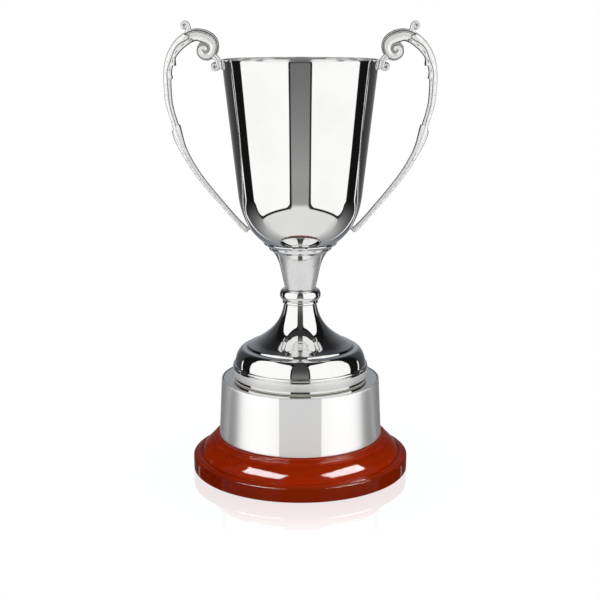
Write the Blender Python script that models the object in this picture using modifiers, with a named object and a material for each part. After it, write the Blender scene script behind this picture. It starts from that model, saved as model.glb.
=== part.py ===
"""Two-handled presentation cup on a banded plinth.

Frame: origin at the centre of the resting face, +Z up, handles along +X and -X,
engraving side of the plinth band toward -Y. Lengths are written in millimetres and
turned into metres when a mesh is made.
"""
import math

import bmesh
import bpy
import numpy as np
from mathutils import Matrix, Vector

MM = 0.001
SEGMENTS = 40
SMALL_SEGMENTS = 14
WASHER_SEGMENTS = 24
HARDWARE_SEGMENTS = 20
CLEARANCE = 0.3
BOWL_STAND_OFF = 0.35
CLEARANCE_HEADROOM = 20.0
SCREW_END_ROOM = 0.4
MERGE_DISTANCE = 0.00001
# How far a cutting tool runs on past the face that it opens.
CUT_OVERRUN = 5.0

# Bowl: spun sheet, straight tapered wall running into a rounded lower part.
BOWL_WALL = 1.0
RIM_TOP_Z = 294.0
RIM_RADIUS = 54.5
LIP_HEIGHT = 5.0
LIP_EDGE = (0.4, 1.6)
WALL_LEVELS = (260.0, 230.0)
SHOULDER_STEPS = 8
WALL_TAPER = 0.1135
WALL_REFERENCE_RADIUS = 44.9
WALL_REFERENCE_Z = 211.6
SHOULDER_Z = 200.5
BOWL_SEAT_RADIUS = 26.5
BOWL_SEAT_Z = 167.6
SHOULDER_PULL = (27.0, 48.0)
SEAT_DIRECTION = (-0.8, -0.6)
BOWL_BOTTOM_Z = 164.8

# Axial stack below the bowl.
ROD_RADIUS = 3.0
ROD_BORE = 3.4
ROD_BOTTOM_Z = 3.4
ROD_TOP_Z = 162.4
BOSS_RADIUS = 7.0
BOSS_TOP_Z = 164.5
BOSS_BOTTOM_Z = 158.0
BOSS_BORE_TOP_Z = 162.8
BOSS_FIT = 0.4
STEM_BOTTOM_Z = 133.6
STEM_CORE_TOP_RADIUS = 10.0
STEM_CORE_BOTTOM_RADIUS = 9.0
STEM_SEAT_Z = 157.7
STEM_CORE_TOP_Z = 154.0
KNOP_TOP_Z = 133.3
KNOP_BOTTOM_Z = 123.1
FOOT_TOP_Z = 122.8
FOOT_BOTTOM_Z = 68.7
FOOT_WALL = 1.2
FOOT_COLLAR_RADIUS = 48.9
FOOT_COLLAR_TOP_Z = 76.4
FOOT_COLLAR_TAPER = 0.4
GASKET_OUTER = 48.2
GASKET_INNER = 40.0
GASKET_BOTTOM_Z = 67.9
GASKET_THICKNESS = 0.4

# Plinth: turned hardwood with a metal sleeve, a metal top plate and a felt underside.
PLATE_RADIUS = 55.6
PLATE_BOTTOM_Z = 66.8
PLATE_THICKNESS = 0.8
BAND_WALL = 0.9
BAND_TOP_RADIUS = 56.9
BAND_BOTTOM_RADIUS = 58.9
BAND_TOP_Z = 67.9
BAND_BOTTOM_Z = 26.4
BAND_SEAM_WIDTH = 0.5
BAND_SEAM_DEPTH = 12.0
CORE_TOP_Z = 66.5
PLINTH_BOTTOM_Z = 0.9
PLINTH_RADIUS = 78.0
COUNTERBORE_RADIUS = 16.0
COUNTERBORE_TOP_Z = 14.0
FELT_RADIUS = 74.0
FELT_THICKNESS = 0.6

# Fixings under the plinth.
WASHER_RADIUS = 12.0
WASHER_THICKNESS = 1.6
SPRING_WASHER_RADIUS = 5.6
SPRING_WASHER_THICKNESS = 1.6
SPRING_WASHER_CUT = 1.0
SPRING_WASHER_CUT_LENGTH = 8.0
NUT_SIDES = 6
NUT_ACROSS_FLATS = 10.0
NUT_HEIGHT = 5.0

# Handle castings: centre-line stations of the strap from the volute to the tail.
# Each station: outward distance, height, half width, half depth.
STRAP_STATIONS = (
    (59.6, 292.6, 2.1, 3.0),
    (59.2, 301.0, 3.1, 3.5),
    (63.2, 308.4, 3.8, 3.8),
    (71.2, 310.8, 4.2, 4.0),
    (79.2, 307.3, 4.2, 4.1),
    (85.3, 301.4, 3.8, 4.0),
    (89.6, 293.2, 3.4, 3.8),
    (91.6, 282.0, 3.0, 3.4),
    (91.2, 269.0, 2.7, 3.1),
    (87.1, 250.6, 2.3, 2.9),
    (81.6, 232.4, 2.6, 2.9),
    (71.7, 215.2, 2.1, 2.7),
    (57.8, 197.6, 1.8, 2.7),
    (44.4, 182.0, 1.8, 3.1),
    (36.8, 173.8, 1.7, 2.6),
)
STRAP_STEPS = 30
# Leaf collar on the strap: height, reach beyond the strap, and length that it fades over.
LEAF_COLLAR = (246.5, 1.1, 9.0)
STRAP_RING_POINTS = 10
STRAP_SQUARENESS = 0.72
VOLUTE_CENTRE = (64.6, 300.6)
VOLUTE_RADIUS = 7.4
VOLUTE_HALF_DEPTH = 4.4
SCROLL_CENTRE = (58.5, 290.4)
SCROLL_RADIUS = 4.0
SCROLL_HALF_DEPTH = 3.5
FINIAL_CENTRE = (79.8, 316.6)
FINIAL_RADIUS = 3.4
FINIAL_HALF_DEPTH = 3.0
FINIAL_NECK_RADIUS = 2.0
FINIAL_ROOT = (76.8, 311.2)
PAD_RADIUS = 4.3
PAD_REACH = 4.6
PAD_BACK = 2.0
ROUND_SIDES = {"volute": 20, "scroll": 16, "finial": 14, "neck": 10, "pad": 16}

# Handle screws, driven from inside the bowl.
UPPER_SCREW_Z = 290.3
LOWER_SCREW_Z = 177.4
SCREW_RADIUS = 1.4
SCREW_BORE = 1.75
BORE_START = 6.0
SCREW_POINT = 0.5
SCREW_HEAD_RADIUS = 2.7
SCREW_HEAD_HEIGHT = 1.6
SCREW_HEAD_EDGE = 0.8
SCREW_HEAD_ROUND = 0.9
SCREW_SLOT = (0.7, 0.6)
UPPER_SCREW_REACH = 4.2
LOWER_SCREW_REACH = 3.1
SCREW_WASHER_RADIUS = 3.4
SCREW_WASHER_THICKNESS = 0.6
SCREW_WASHER_GAP = 0.5


def clear_scene():
    for found in list(bpy.data.objects):
        bpy.data.objects.remove(found, do_unlink=True)


def make_collection(name):
    made = bpy.data.collections.new(name)
    bpy.context.scene.collection.children.link(made)
    return made


def make_material(name, colour, metallic, roughness):
    made = bpy.data.materials.new(name)
    made.use_nodes = True
    shader = made.node_tree.nodes["Principled BSDF"]
    shader.inputs["Base Color"].default_value = (*colour, 1.0)
    shader.inputs["Metallic"].default_value = metallic
    shader.inputs["Roughness"].default_value = roughness
    made.diffuse_color = (*colour, 1.0)
    return made


def add_object(name, mesh, collection, material=None):
    made = bpy.data.objects.new(name, mesh)
    collection.objects.link(made)
    if material:
        mesh.materials.append(material)
    return made


def add_cutter(name, mesh, cutters):
    made = add_object(name, mesh, cutters)
    made.hide_render = True
    made.display_type = "WIRE"
    return made


def smooth_curve(start, end, start_pull, end_pull, count):
    """Points of a cubic from start to end, leaving and arriving along the two pulls."""
    points = []
    for step in range(count + 1):
        t = step / count
        start_weight = 2 * t ** 3 - 3 * t ** 2 + 1
        end_weight = 3 * t ** 2 - 2 * t ** 3
        leave = t ** 3 - 2 * t ** 2 + t
        arrive = t ** 3 - t ** 2
        points.append(tuple(
            start_weight * start[axis] + leave * start_pull[axis]
            + end_weight * end[axis] + arrive * end_pull[axis]
            for axis in range(2)))
    return points


def wall_radius(height):
    return WALL_REFERENCE_RADIUS + (height - WALL_REFERENCE_Z) * WALL_TAPER


def bowl_profile():
    """Outer face of the bowl from the rim down to the centre of its bottom."""
    lip_end_z = RIM_TOP_Z - LIP_HEIGHT
    lip = [(RIM_RADIUS, RIM_TOP_Z), (RIM_RADIUS - LIP_EDGE[0], RIM_TOP_Z - LIP_EDGE[1])]
    wall = [(wall_radius(z), z) for z in (lip_end_z, *WALL_LEVELS)]
    shoulder = smooth_curve(
        (wall_radius(SHOULDER_Z), SHOULDER_Z),
        (BOWL_SEAT_RADIUS, BOWL_SEAT_Z),
        (-WALL_TAPER * SHOULDER_PULL[0], -SHOULDER_PULL[0]),
        (SEAT_DIRECTION[0] * SHOULDER_PULL[1], SEAT_DIRECTION[1] * SHOULDER_PULL[1]),
        SHOULDER_STEPS)
    bottom = [(23.0, 165.9), (16.0, 165.0), (0.0, BOWL_BOTTOM_Z)]
    return lip + wall + shoulder + bottom


def profile_mesh(name, points, closed):
    """Profile edges in the X-Z plane, with the radius along +X."""
    mesh = bpy.data.meshes.new(name)
    count = len(points)
    edges = [(i, i + 1) for i in range(count - 1)]
    if closed:
        edges.append((count - 1, 0))
    mesh.from_pydata([(r * MM, 0.0, z * MM) for r, z in points], edges, [])
    return mesh


def turn(made, segments):
    spin = made.modifiers.new("Turn", "SCREW")
    spin.axis = "Z"
    spin.angle = math.tau
    spin.steps = segments
    spin.render_steps = segments
    spin.use_merge_vertices = True
    spin.merge_threshold = MERGE_DISTANCE
    spin.use_smooth_shade = True


def turned_solid(name, points, collection, material, segments=SEGMENTS, closed=True):
    made = add_object(name, profile_mesh(name, points, closed), collection, material)
    turn(made, segments)
    return made


def turned_shell(name, points, wall, collection, material, segments=SEGMENTS):
    made = turned_solid(name, points, collection, material, segments, closed=False)
    thicken = made.modifiers.new("Wall", "SOLIDIFY")
    thicken.thickness = wall * MM
    thicken.offset = -1.0
    thicken.use_even_offset = True
    thicken.use_quality_normals = True
    return made


def ring_profile(outer, inner, bottom, top):
    return [(outer, top), (outer, bottom), (inner, bottom), (inner, top)]


def disc_profile(radius, bottom, top):
    return [(0.0, top), (radius, top), (radius, bottom), (0.0, bottom)]


def cylinder_mesh(name, radius, start, end, segments=SMALL_SEGMENTS):
    """Closed cylinder between two points given in millimetres."""
    start = Vector(start)
    end = Vector(end)
    along = end - start
    work = bmesh.new()
    bmesh.ops.create_cone(
        work, cap_ends=True, segments=segments, radius1=radius, radius2=radius,
        depth=along.length)
    turn_to = Vector((0.0, 0.0, 1.0)).rotation_difference(along.normalized()).to_matrix()
    place = Matrix.Translation((start + end) / 2) @ turn_to.to_4x4()
    bmesh.ops.transform(work, matrix=Matrix.Scale(MM, 4) @ place, verts=work.verts)
    mesh = bpy.data.meshes.new(name)
    work.to_mesh(mesh)
    work.free()
    return mesh


def box_mesh(name, size, centre):
    work = bmesh.new()
    bmesh.ops.create_cube(work, size=1.0)
    place = Matrix.Translation(centre) @ Matrix.Diagonal((*size, 1.0))
    bmesh.ops.transform(work, matrix=Matrix.Scale(MM, 4) @ place, verts=work.verts)
    mesh = bpy.data.meshes.new(name)
    work.to_mesh(mesh)
    work.free()
    return mesh


def combine(made, other, operation):
    step = made.modifiers.new(operation.title(), "BOOLEAN")
    step.operation = operation
    step.solver = "EXACT"
    step.object = other


def wall_point(height):
    """Outer-face point of the bowl at one height and its outward direction in X-Z."""
    profile = bowl_profile()
    for upper, lower in zip(profile, profile[1:]):
        if lower[1] <= height <= upper[1]:
            share = (upper[1] - height) / (upper[1] - lower[1])
            radius = upper[0] + (lower[0] - upper[0]) * share
            run = Vector((lower[0] - upper[0], 0.0, lower[1] - upper[1])).normalized()
            outward = Vector((-run.z, 0.0, run.x))
            return Vector((radius, 0.0, height)), outward
    raise ValueError("no bowl wall at this height")


def smooth_stations(stations, steps):
    """Stations spread along a smooth cubic line through the given ones."""
    known = np.array(stations)
    chords = np.linalg.norm(np.diff(known[:, :2], axis=0), axis=1)
    slopes = np.diff(known, axis=0) / chords[:, None]
    inner = slopes[:-1] * chords[1:, None] + slopes[1:] * chords[:-1, None]
    tangents = np.vstack([slopes[0], inner / (chords[:-1] + chords[1:])[:, None], slopes[-1]])
    at = np.concatenate([[0.0], np.cumsum(chords)])
    where = np.linspace(0.0, at[-1], steps)
    span = np.clip(np.searchsorted(at, where, side="right") - 1, 0, len(chords) - 1)
    size = chords[span][:, None]
    t = (where - at[span])[:, None] / size
    return (
        (2 * t ** 3 - 3 * t ** 2 + 1) * known[span]
        + (t ** 3 - 2 * t ** 2 + t) * size * tangents[span]
        + (3 * t ** 2 - 2 * t ** 3) * known[span + 1]
        + (t ** 3 - t ** 2) * size * tangents[span + 1])


def superellipse(angle, half_width, half_depth):
    """Cross-section point of the strap: place across it and through its depth."""
    across = math.copysign(abs(math.cos(angle)) ** STRAP_SQUARENESS, math.cos(angle))
    deep = math.copysign(abs(math.sin(angle)) ** STRAP_SQUARENESS, math.sin(angle))
    return across * half_width, deep * half_depth


def collar_swell(height):
    """Extra half width where the leaf collar wraps the lower limb of the strap."""
    collar_z, reach, fade = LEAF_COLLAR
    return reach * max(0.0, 1.0 - abs(height - collar_z) / fade)


def strap_mesh(name):
    """Swept strap of one handle, a ring of points at each station and flat ends."""
    work = bmesh.new()
    line = smooth_stations(STRAP_STATIONS, STRAP_STEPS)
    directions = np.gradient(line[:, :2], axis=0)
    rings = []
    for (x, z, half_width, half_depth), run in zip(line, directions):
        outward = Vector((-run[1], 0.0, run[0])).normalized()
        ring = []
        for step in range(STRAP_RING_POINTS):
            angle = math.tau * (step + 0.5) / STRAP_RING_POINTS
            across, deep = superellipse(angle, half_width + collar_swell(z), half_depth)
            spot = Vector((x, 0.0, z)) + outward * across
            ring.append(work.verts.new((spot.x * MM, deep * MM, spot.z * MM)))
        rings.append(ring)
    for near, far in zip(rings, rings[1:]):
        for step in range(STRAP_RING_POINTS):
            following = (step + 1) % STRAP_RING_POINTS
            work.faces.new((near[step], near[following], far[following], far[step]))
    work.faces.new(rings[0])
    work.faces.new(list(reversed(rings[-1])))
    bmesh.ops.recalc_face_normals(work, faces=work.faces)
    mesh = bpy.data.meshes.new(name)
    work.to_mesh(mesh)
    work.free()
    return mesh


def mirror_mesh(mesh):
    mesh.transform(Matrix.Scale(-1.0, 4, Vector((1.0, 0.0, 0.0))))
    mesh.flip_normals()
    return mesh


def round_boss(side, label, centre, radius, half_depth):
    x, z = centre
    return cylinder_mesh(f"{side}_{label}", radius, (x, -half_depth, z), (x, half_depth, z),
                         ROUND_SIDES[label])


def handle_pieces(side):
    """Meshes joined onto the strap and meshes cut away from it, for one side."""
    pad_spot, pad_out = wall_point(UPPER_SCREW_Z)
    finial_base = (FINIAL_ROOT[0], 0.0, FINIAL_ROOT[1])
    finial_end = (FINIAL_CENTRE[0], 0.0, FINIAL_CENTRE[1])
    joined = [
        round_boss(side, "volute", VOLUTE_CENTRE, VOLUTE_RADIUS, VOLUTE_HALF_DEPTH),
        round_boss(side, "scroll", SCROLL_CENTRE, SCROLL_RADIUS, SCROLL_HALF_DEPTH),
        round_boss(side, "finial", FINIAL_CENTRE, FINIAL_RADIUS, FINIAL_HALF_DEPTH),
        cylinder_mesh(f"{side}_finial_neck", FINIAL_NECK_RADIUS, finial_base, finial_end,
                      ROUND_SIDES["neck"]),
        cylinder_mesh(f"{side}_pad", PAD_RADIUS, pad_spot - pad_out * PAD_BACK,
                      pad_spot + pad_out * PAD_REACH, ROUND_SIDES["pad"]),
    ]
    cut = []
    for label, height, reach in (
            ("upper", UPPER_SCREW_Z, UPPER_SCREW_REACH),
            ("lower", LOWER_SCREW_Z, LOWER_SCREW_REACH)):
        spot, outward = wall_point(height)
        cut.append(cylinder_mesh(f"{side}_{label}_bore", SCREW_BORE, spot - outward * BORE_START,
                                 spot + outward * (reach + SCREW_END_ROOM)))
    return joined, cut


def build_handle(side, mirrored, collection, cutters, material, clearance_cutter):
    mesh = strap_mesh(f"{side}_handle")
    joined, cut = handle_pieces(side)
    if mirrored:
        for each in [mesh] + joined + cut:
            mirror_mesh(each)
    handle = add_object(f"{side}_handle", mesh, collection, material)
    for each in joined:
        combine(handle, add_cutter(each.name, each, cutters), "UNION")
    combine(handle, clearance_cutter, "DIFFERENCE")
    for each in cut:
        combine(handle, add_cutter(each.name, each, cutters), "DIFFERENCE")
    return handle


def bowl_clearance(cutters):
    """Solid that fills the bowl and stands off its outer face by the clearance."""
    profile = bowl_profile()
    above = RIM_TOP_Z + CLEARANCE_HEADROOM
    grown = [(0.0, above), (RIM_RADIUS + CLEARANCE, above)]
    for index, (radius, height) in enumerate(profile[:-1]):
        before = profile[max(index - 1, 0)]
        after = profile[min(index + 1, len(profile) - 1)]
        run = Vector((after[0] - before[0], after[1] - before[1])).normalized()
        grown.append((radius - run.y * BOWL_STAND_OFF, height + run.x * BOWL_STAND_OFF))
    grown.append((0.0, BOWL_BOTTOM_Z - CLEARANCE))
    made = turned_solid("bowl_clearance", grown, cutters, None, closed=False)
    made.hide_render = True
    made.display_type = "WIRE"
    return made


def cut_bowl_holes(bowl, cutters):
    for side, sign in (("right", 1.0), ("left", -1.0)):
        for label, height in (("upper", UPPER_SCREW_Z), ("lower", LOWER_SCREW_Z)):
            spot, outward = wall_point(height)
            start = spot - outward * CUT_OVERRUN
            end = spot + outward * CUT_OVERRUN
            start.x *= sign
            end.x *= sign
            hole = cylinder_mesh(f"{side}_{label}_hole", SCREW_BORE, start, end)
            combine(bowl, add_cutter(hole.name, hole, cutters), "DIFFERENCE")


def placed_turning(name, points, segments, origin, axis, sign, collection, material):
    """Turned solid whose own +Z is laid along an axis from an origin, by side."""
    made = turned_solid(name, points, collection, material, segments)
    turn_to = Vector((0.0, 0.0, 1.0)).rotation_difference(
        Vector((axis.x * sign, axis.y, axis.z))).to_matrix().to_4x4()
    made.matrix_world = Matrix.Translation(
        Vector((origin.x * sign, origin.y, origin.z)) * MM) @ turn_to
    return made


def screw_profile(reach):
    """Screw with its shank along +Z; zero is the outer face of the bowl wall."""
    head_top = -(BOWL_WALL + SCREW_WASHER_GAP + SCREW_WASHER_THICKNESS + CLEARANCE)
    crown = head_top - SCREW_HEAD_HEIGHT
    return [(0.0, reach), (SCREW_RADIUS, reach - SCREW_POINT), (SCREW_RADIUS, head_top),
            (SCREW_HEAD_RADIUS, head_top), (SCREW_HEAD_RADIUS, head_top - SCREW_HEAD_EDGE),
            (SCREW_HEAD_RADIUS - SCREW_HEAD_ROUND, crown), (0.0, crown)], crown


def build_handle_fixings(collection, cutters, material, washer_material):
    for side, sign in (("right", 1.0), ("left", -1.0)):
        for label, height, reach in (
                ("upper", UPPER_SCREW_Z, UPPER_SCREW_REACH),
                ("lower", LOWER_SCREW_Z, LOWER_SCREW_REACH)):
            spot, outward = wall_point(height)
            points, crown = screw_profile(reach)
            screw = placed_turning(
                f"{side}_{label}_screw", points, SMALL_SEGMENTS, spot, outward, sign,
                collection, material)
            slot = box_mesh(f"{side}_{label}_slot",
                            (SCREW_SLOT[0], SCREW_HEAD_RADIUS * 3, SCREW_SLOT[1] * 2),
                            (0.0, 0.0, crown))
            slot_cutter = add_cutter(slot.name, slot, cutters)
            slot_cutter.matrix_world = screw.matrix_world
            combine(screw, slot_cutter, "DIFFERENCE")
            washer_top = -(BOWL_WALL + SCREW_WASHER_GAP)
            placed_turning(
                f"{side}_{label}_washer",
                ring_profile(SCREW_WASHER_RADIUS, SCREW_BORE,
                             washer_top - SCREW_WASHER_THICKNESS, washer_top),
                SMALL_SEGMENTS, spot, outward, sign, collection, washer_material)


def stem_profile():
    """Flange, two stepped rings and a trumpet, hollow from below."""
    outside = [
        (26.1, 166.9), (25.5, 165.7), (22.9, 164.4), (22.3, 162.9), (20.1, 161.6),
        (19.3, 160.1), (17.2, 157.0), (15.2, 152.4), (13.7, 146.6), (12.5, 140.7),
        (11.6, 134.9), (11.4, STEM_BOTTOM_Z)]
    core = [
        (STEM_CORE_BOTTOM_RADIUS, STEM_BOTTOM_Z), (STEM_CORE_TOP_RADIUS, STEM_CORE_TOP_Z),
        (ROD_BORE, STEM_CORE_TOP_Z), (ROD_BORE, STEM_SEAT_Z)]
    socket = [
        (BOSS_RADIUS + BOSS_FIT, STEM_SEAT_Z), (BOSS_RADIUS + BOSS_FIT, 164.3), (16.0, 164.5),
        (22.9, 165.3)]
    return outside + core + socket


def knop_profile():
    return [
        (12.2, KNOP_TOP_Z), (13.5, 132.4), (14.4, 130.7), (14.6, 128.7), (14.1, 126.8),
        (12.9, 125.3), (12.2, 124.8), (12.7, 124.2), (12.4, KNOP_BOTTOM_Z),
        (ROD_BORE, KNOP_BOTTOM_Z), (ROD_BORE, KNOP_TOP_Z)]


def foot_profile():
    """Trumpet flaring to a crease, a convex step, a bead and an upright collar."""
    trumpet = [
        (ROD_BORE, FOOT_TOP_Z), (11.6, FOOT_TOP_Z), (12.2, 119.8), (13.1, 116.6),
        (14.5, 112.9), (16.6, 109.2), (19.4, 105.6), (23.6, 101.6), (28.8, 97.8),
        (34.0, 94.4), (38.2, 92.2)]
    step = [(41.6, 90.3), (44.4, 87.2), (46.2, 83.6), (47.0, 80.4)]
    collar = [(48.4, 79.2), (48.2, 77.0), (FOOT_COLLAR_RADIUS, FOOT_COLLAR_TOP_Z),
              (FOOT_COLLAR_RADIUS - FOOT_COLLAR_TAPER, FOOT_BOTTOM_Z)]
    return trumpet + step + collar


def plinth_profile():
    """Banded drum above a moulded base, with a stepped hole for the tie rod."""
    drum_drop = BAND_WALL + CLEARANCE
    outside = [
        (BAND_TOP_RADIUS - drum_drop, CORE_TOP_Z),
        (BAND_BOTTOM_RADIUS - drum_drop, BAND_BOTTOM_Z - CLEARANCE),
        (60.9, BAND_BOTTOM_Z - CLEARANCE), (61.1, 25.1), (62.2, 24.9), (62.4, 23.9),
        (63.5, 23.7), (63.8, 22.7), (67.4, 20.2), (70.2, 17.0), (72.0, 13.6),
        (74.6, 13.2), (76.9, 12.3), (PLINTH_RADIUS, 10.4), (PLINTH_RADIUS, 2.3),
        (PLINTH_RADIUS - 0.8, PLINTH_BOTTOM_Z)]
    hole = [
        (COUNTERBORE_RADIUS, PLINTH_BOTTOM_Z), (COUNTERBORE_RADIUS, COUNTERBORE_TOP_Z),
        (ROD_BORE, COUNTERBORE_TOP_Z), (ROD_BORE, CORE_TOP_Z)]
    return outside + hole


def build_band(collection, cutters, material):
    """Metal sleeve with a narrow butt seam at the back."""
    band = turned_solid(
        "plinth_band",
        [(BAND_TOP_RADIUS, BAND_TOP_Z), (BAND_BOTTOM_RADIUS, BAND_BOTTOM_Z),
         (BAND_BOTTOM_RADIUS - BAND_WALL, BAND_BOTTOM_Z),
         (BAND_TOP_RADIUS - BAND_WALL, BAND_TOP_Z)],
        collection, material)
    height = BAND_TOP_Z - BAND_BOTTOM_Z
    seam = box_mesh("band_seam", (BAND_SEAM_WIDTH, BAND_SEAM_DEPTH, height + 2 * CUT_OVERRUN),
                    (0.0, BAND_BOTTOM_RADIUS, BAND_BOTTOM_Z + height / 2))
    combine(band, add_cutter("band_seam", seam, cutters), "DIFFERENCE")
    return band


def build_nut(collection, cutters, material, top):
    corner_radius = NUT_ACROSS_FLATS / math.sqrt(3)
    mesh = cylinder_mesh("base_nut", corner_radius, (0.0, 0.0, top - NUT_HEIGHT),
                         (0.0, 0.0, top), NUT_SIDES)
    nut = add_object("base_nut", mesh, collection, material)
    bore = cylinder_mesh("nut_bore", ROD_BORE, (0.0, 0.0, top - NUT_HEIGHT - CUT_OVERRUN),
                         (0.0, 0.0, top + CUT_OVERRUN), HARDWARE_SEGMENTS)
    combine(nut, add_cutter("nut_bore", bore, cutters), "DIFFERENCE")


def build_base_fixings(collection, cutters, steel):
    top = COUNTERBORE_TOP_Z - CLEARANCE
    turned_solid("base_washer", ring_profile(WASHER_RADIUS, ROD_BORE,
                                             top - WASHER_THICKNESS, top),
                 collection, steel, WASHER_SEGMENTS)
    top -= WASHER_THICKNESS + CLEARANCE
    spring = turned_solid(
        "spring_washer",
        ring_profile(SPRING_WASHER_RADIUS, ROD_BORE, top - SPRING_WASHER_THICKNESS, top),
        collection, steel, HARDWARE_SEGMENTS)
    split = box_mesh("spring_split",
                     (SPRING_WASHER_RADIUS, SPRING_WASHER_CUT, SPRING_WASHER_CUT_LENGTH),
                     (SPRING_WASHER_RADIUS, 0.0, top))
    combine(spring, add_cutter("spring_split", split, cutters), "DIFFERENCE")
    top -= SPRING_WASHER_THICKNESS + CLEARANCE
    build_nut(collection, cutters, steel, top)


def build():
    clear_scene()
    parts = make_collection("cup_trophy")
    cutters = make_collection("cutters")
    nickel = {
        label: make_material(f"nickel_{label}", (0.80, 0.79, 0.77), 1.0, 0.08)
        for label in ("bowl", "stem", "knop", "foot", "plate", "band")}
    silver = {
        side: make_material(f"cast_{side}", (0.82, 0.81, 0.79), 1.0, 0.22)
        for side in ("left", "right")}
    steel = make_material("zinc_steel", (0.62, 0.62, 0.60), 1.0, 0.35)
    brass = make_material("boss_brass", (0.72, 0.55, 0.25), 1.0, 0.3)
    fibre = make_material("fibre_washer", (0.55, 0.12, 0.08), 0.0, 0.7)
    card = make_material("gasket_card", (0.66, 0.58, 0.44), 0.0, 0.9)
    wood = make_material("rosewood", (0.33, 0.05, 0.02), 0.0, 0.18)
    felt = make_material("green_felt", (0.02, 0.10, 0.05), 0.0, 0.95)

    bowl = turned_shell("bowl", bowl_profile(), BOWL_WALL, parts, nickel["bowl"])
    cut_bowl_holes(bowl, cutters)
    turned_solid(
        "bowl_boss",
        [(0.0, BOSS_TOP_Z), (BOSS_RADIUS, BOSS_TOP_Z), (BOSS_RADIUS, BOSS_BOTTOM_Z),
         (ROD_RADIUS + CLEARANCE, BOSS_BOTTOM_Z),
         (ROD_RADIUS + CLEARANCE, BOSS_BORE_TOP_Z), (0.0, BOSS_BORE_TOP_Z)],
        parts, brass, HARDWARE_SEGMENTS, closed=False)
    turned_solid("upper_stem", stem_profile(), parts, nickel["stem"])
    turned_solid("knop", knop_profile(), parts, nickel["knop"])
    turned_shell("foot", foot_profile(), FOOT_WALL, parts, nickel["foot"])
    turned_solid("foot_gasket",
                 ring_profile(GASKET_OUTER, GASKET_INNER, GASKET_BOTTOM_Z,
                              GASKET_BOTTOM_Z + GASKET_THICKNESS), parts, card)
    turned_solid("plinth_top_plate",
                 ring_profile(PLATE_RADIUS, ROD_BORE, PLATE_BOTTOM_Z,
                              PLATE_BOTTOM_Z + PLATE_THICKNESS), parts, nickel["plate"])
    build_band(parts, cutters, nickel["band"])
    turned_solid("plinth", plinth_profile(), parts, wood)
    turned_solid("base_felt", disc_profile(FELT_RADIUS, 0.0, FELT_THICKNESS), parts, felt,
                 closed=False)
    turned_solid("tie_rod", disc_profile(ROD_RADIUS, ROD_BOTTOM_Z, ROD_TOP_Z), parts, steel,
                 SMALL_SEGMENTS, closed=False)
    build_base_fixings(parts, cutters, steel)
    clearance_cutter = bowl_clearance(cutters)
    build_handle("right", False, parts, cutters, silver["right"], clearance_cutter)
    build_handle("left", True, parts, cutters, silver["left"], clearance_cutter)
    build_handle_fixings(parts, cutters, steel, fibre)
    bpy.context.view_layer.update()
    for made in parts.objects:
        made.data.shade_smooth()


build()
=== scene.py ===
"""Two-handled presentation cup on a banded hardwood plinth: surfaces, finishes and studio.

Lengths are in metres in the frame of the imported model: +Z up, the cup's axis on Z, the
handles along +X and -X, and the blank panel of the plinth band toward -Y.
"""
import logging
import math
from dataclasses import dataclass
from enum import Enum
from typing import Callable

import bpy
import numpy as np
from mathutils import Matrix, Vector


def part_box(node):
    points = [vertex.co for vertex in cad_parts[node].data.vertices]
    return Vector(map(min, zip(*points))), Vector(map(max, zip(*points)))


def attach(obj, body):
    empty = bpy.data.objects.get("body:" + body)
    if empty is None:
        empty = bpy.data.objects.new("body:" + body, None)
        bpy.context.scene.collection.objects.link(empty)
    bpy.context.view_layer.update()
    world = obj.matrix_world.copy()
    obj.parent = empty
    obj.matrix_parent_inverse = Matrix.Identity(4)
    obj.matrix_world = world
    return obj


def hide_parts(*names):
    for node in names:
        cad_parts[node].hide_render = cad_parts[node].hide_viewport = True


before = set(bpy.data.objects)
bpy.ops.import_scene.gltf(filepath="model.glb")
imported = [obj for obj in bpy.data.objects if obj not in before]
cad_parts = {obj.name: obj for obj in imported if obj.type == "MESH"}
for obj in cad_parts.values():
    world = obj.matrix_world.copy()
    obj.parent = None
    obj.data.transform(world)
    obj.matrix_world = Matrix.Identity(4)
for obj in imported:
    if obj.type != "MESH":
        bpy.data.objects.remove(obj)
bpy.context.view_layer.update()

MM = 0.001
BODY = "root"
# Gap between neighbouring pieces, and how close two outline points count as one, in
# millimetres; then the share of a side that a rounded corner may use.
CLEARANCE = 0.3
SAME_PLACE = 1e-6
MOST_EASING = 0.49
LOG = logging.getLogger("cup_trophy")
Array = np.ndarray


# ---------------------------------------------------------------- outlines and grids


def line(start: tuple, end: tuple, count: int = 2) -> Array:
    """Evenly spaced points on the straight line from start to end.

    Args:
        start: First point, (radius, height).
        end: Last point.
        count: Number of points.

    Returns:
        Array of shape (count, 2).
    """
    share = np.linspace(0.0, 1.0, count)[:, None]
    return np.asarray(start, float) * (1 - share) + np.asarray(end, float) * share


def stretches(points: Array) -> Array:
    """Length of each stretch between neighbouring points."""
    return np.linalg.norm(np.diff(points, axis=0), axis=1)


def distance_along(points: Array) -> Array:
    """Distance run along the points, 0 at the first."""
    return np.concatenate([[0.0], np.cumsum(stretches(points))])


def unit(vectors: Array) -> Array:
    """Vectors scaled to length one."""
    return vectors / np.linalg.norm(vectors, axis=-1, keepdims=True)


def hermite(t: Array, start: Array, end: Array, leave: Array, arrive: Array) -> Array:
    """Cubic that runs from start to end as t runs from 0 to 1.

    It is (2t^3 - 3t^2 + 1) start + (t^3 - 2t^2 + t) leave + (3t^2 - 2t^3) end
    + (t^3 - t^2) arrive.

    Args:
        t: Place along the cubic.
        start: First point.
        end: Last point.
        leave: Pull at the start.
        arrive: Pull at the end.

    Returns:
        Points of the cubic.
    """
    return ((2 * t**3 - 3 * t**2 + 1) * start + (t**3 - 2 * t**2 + t) * leave
            + (3 * t**2 - 2 * t**3) * end + (t**3 - t**2) * arrive)


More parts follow.
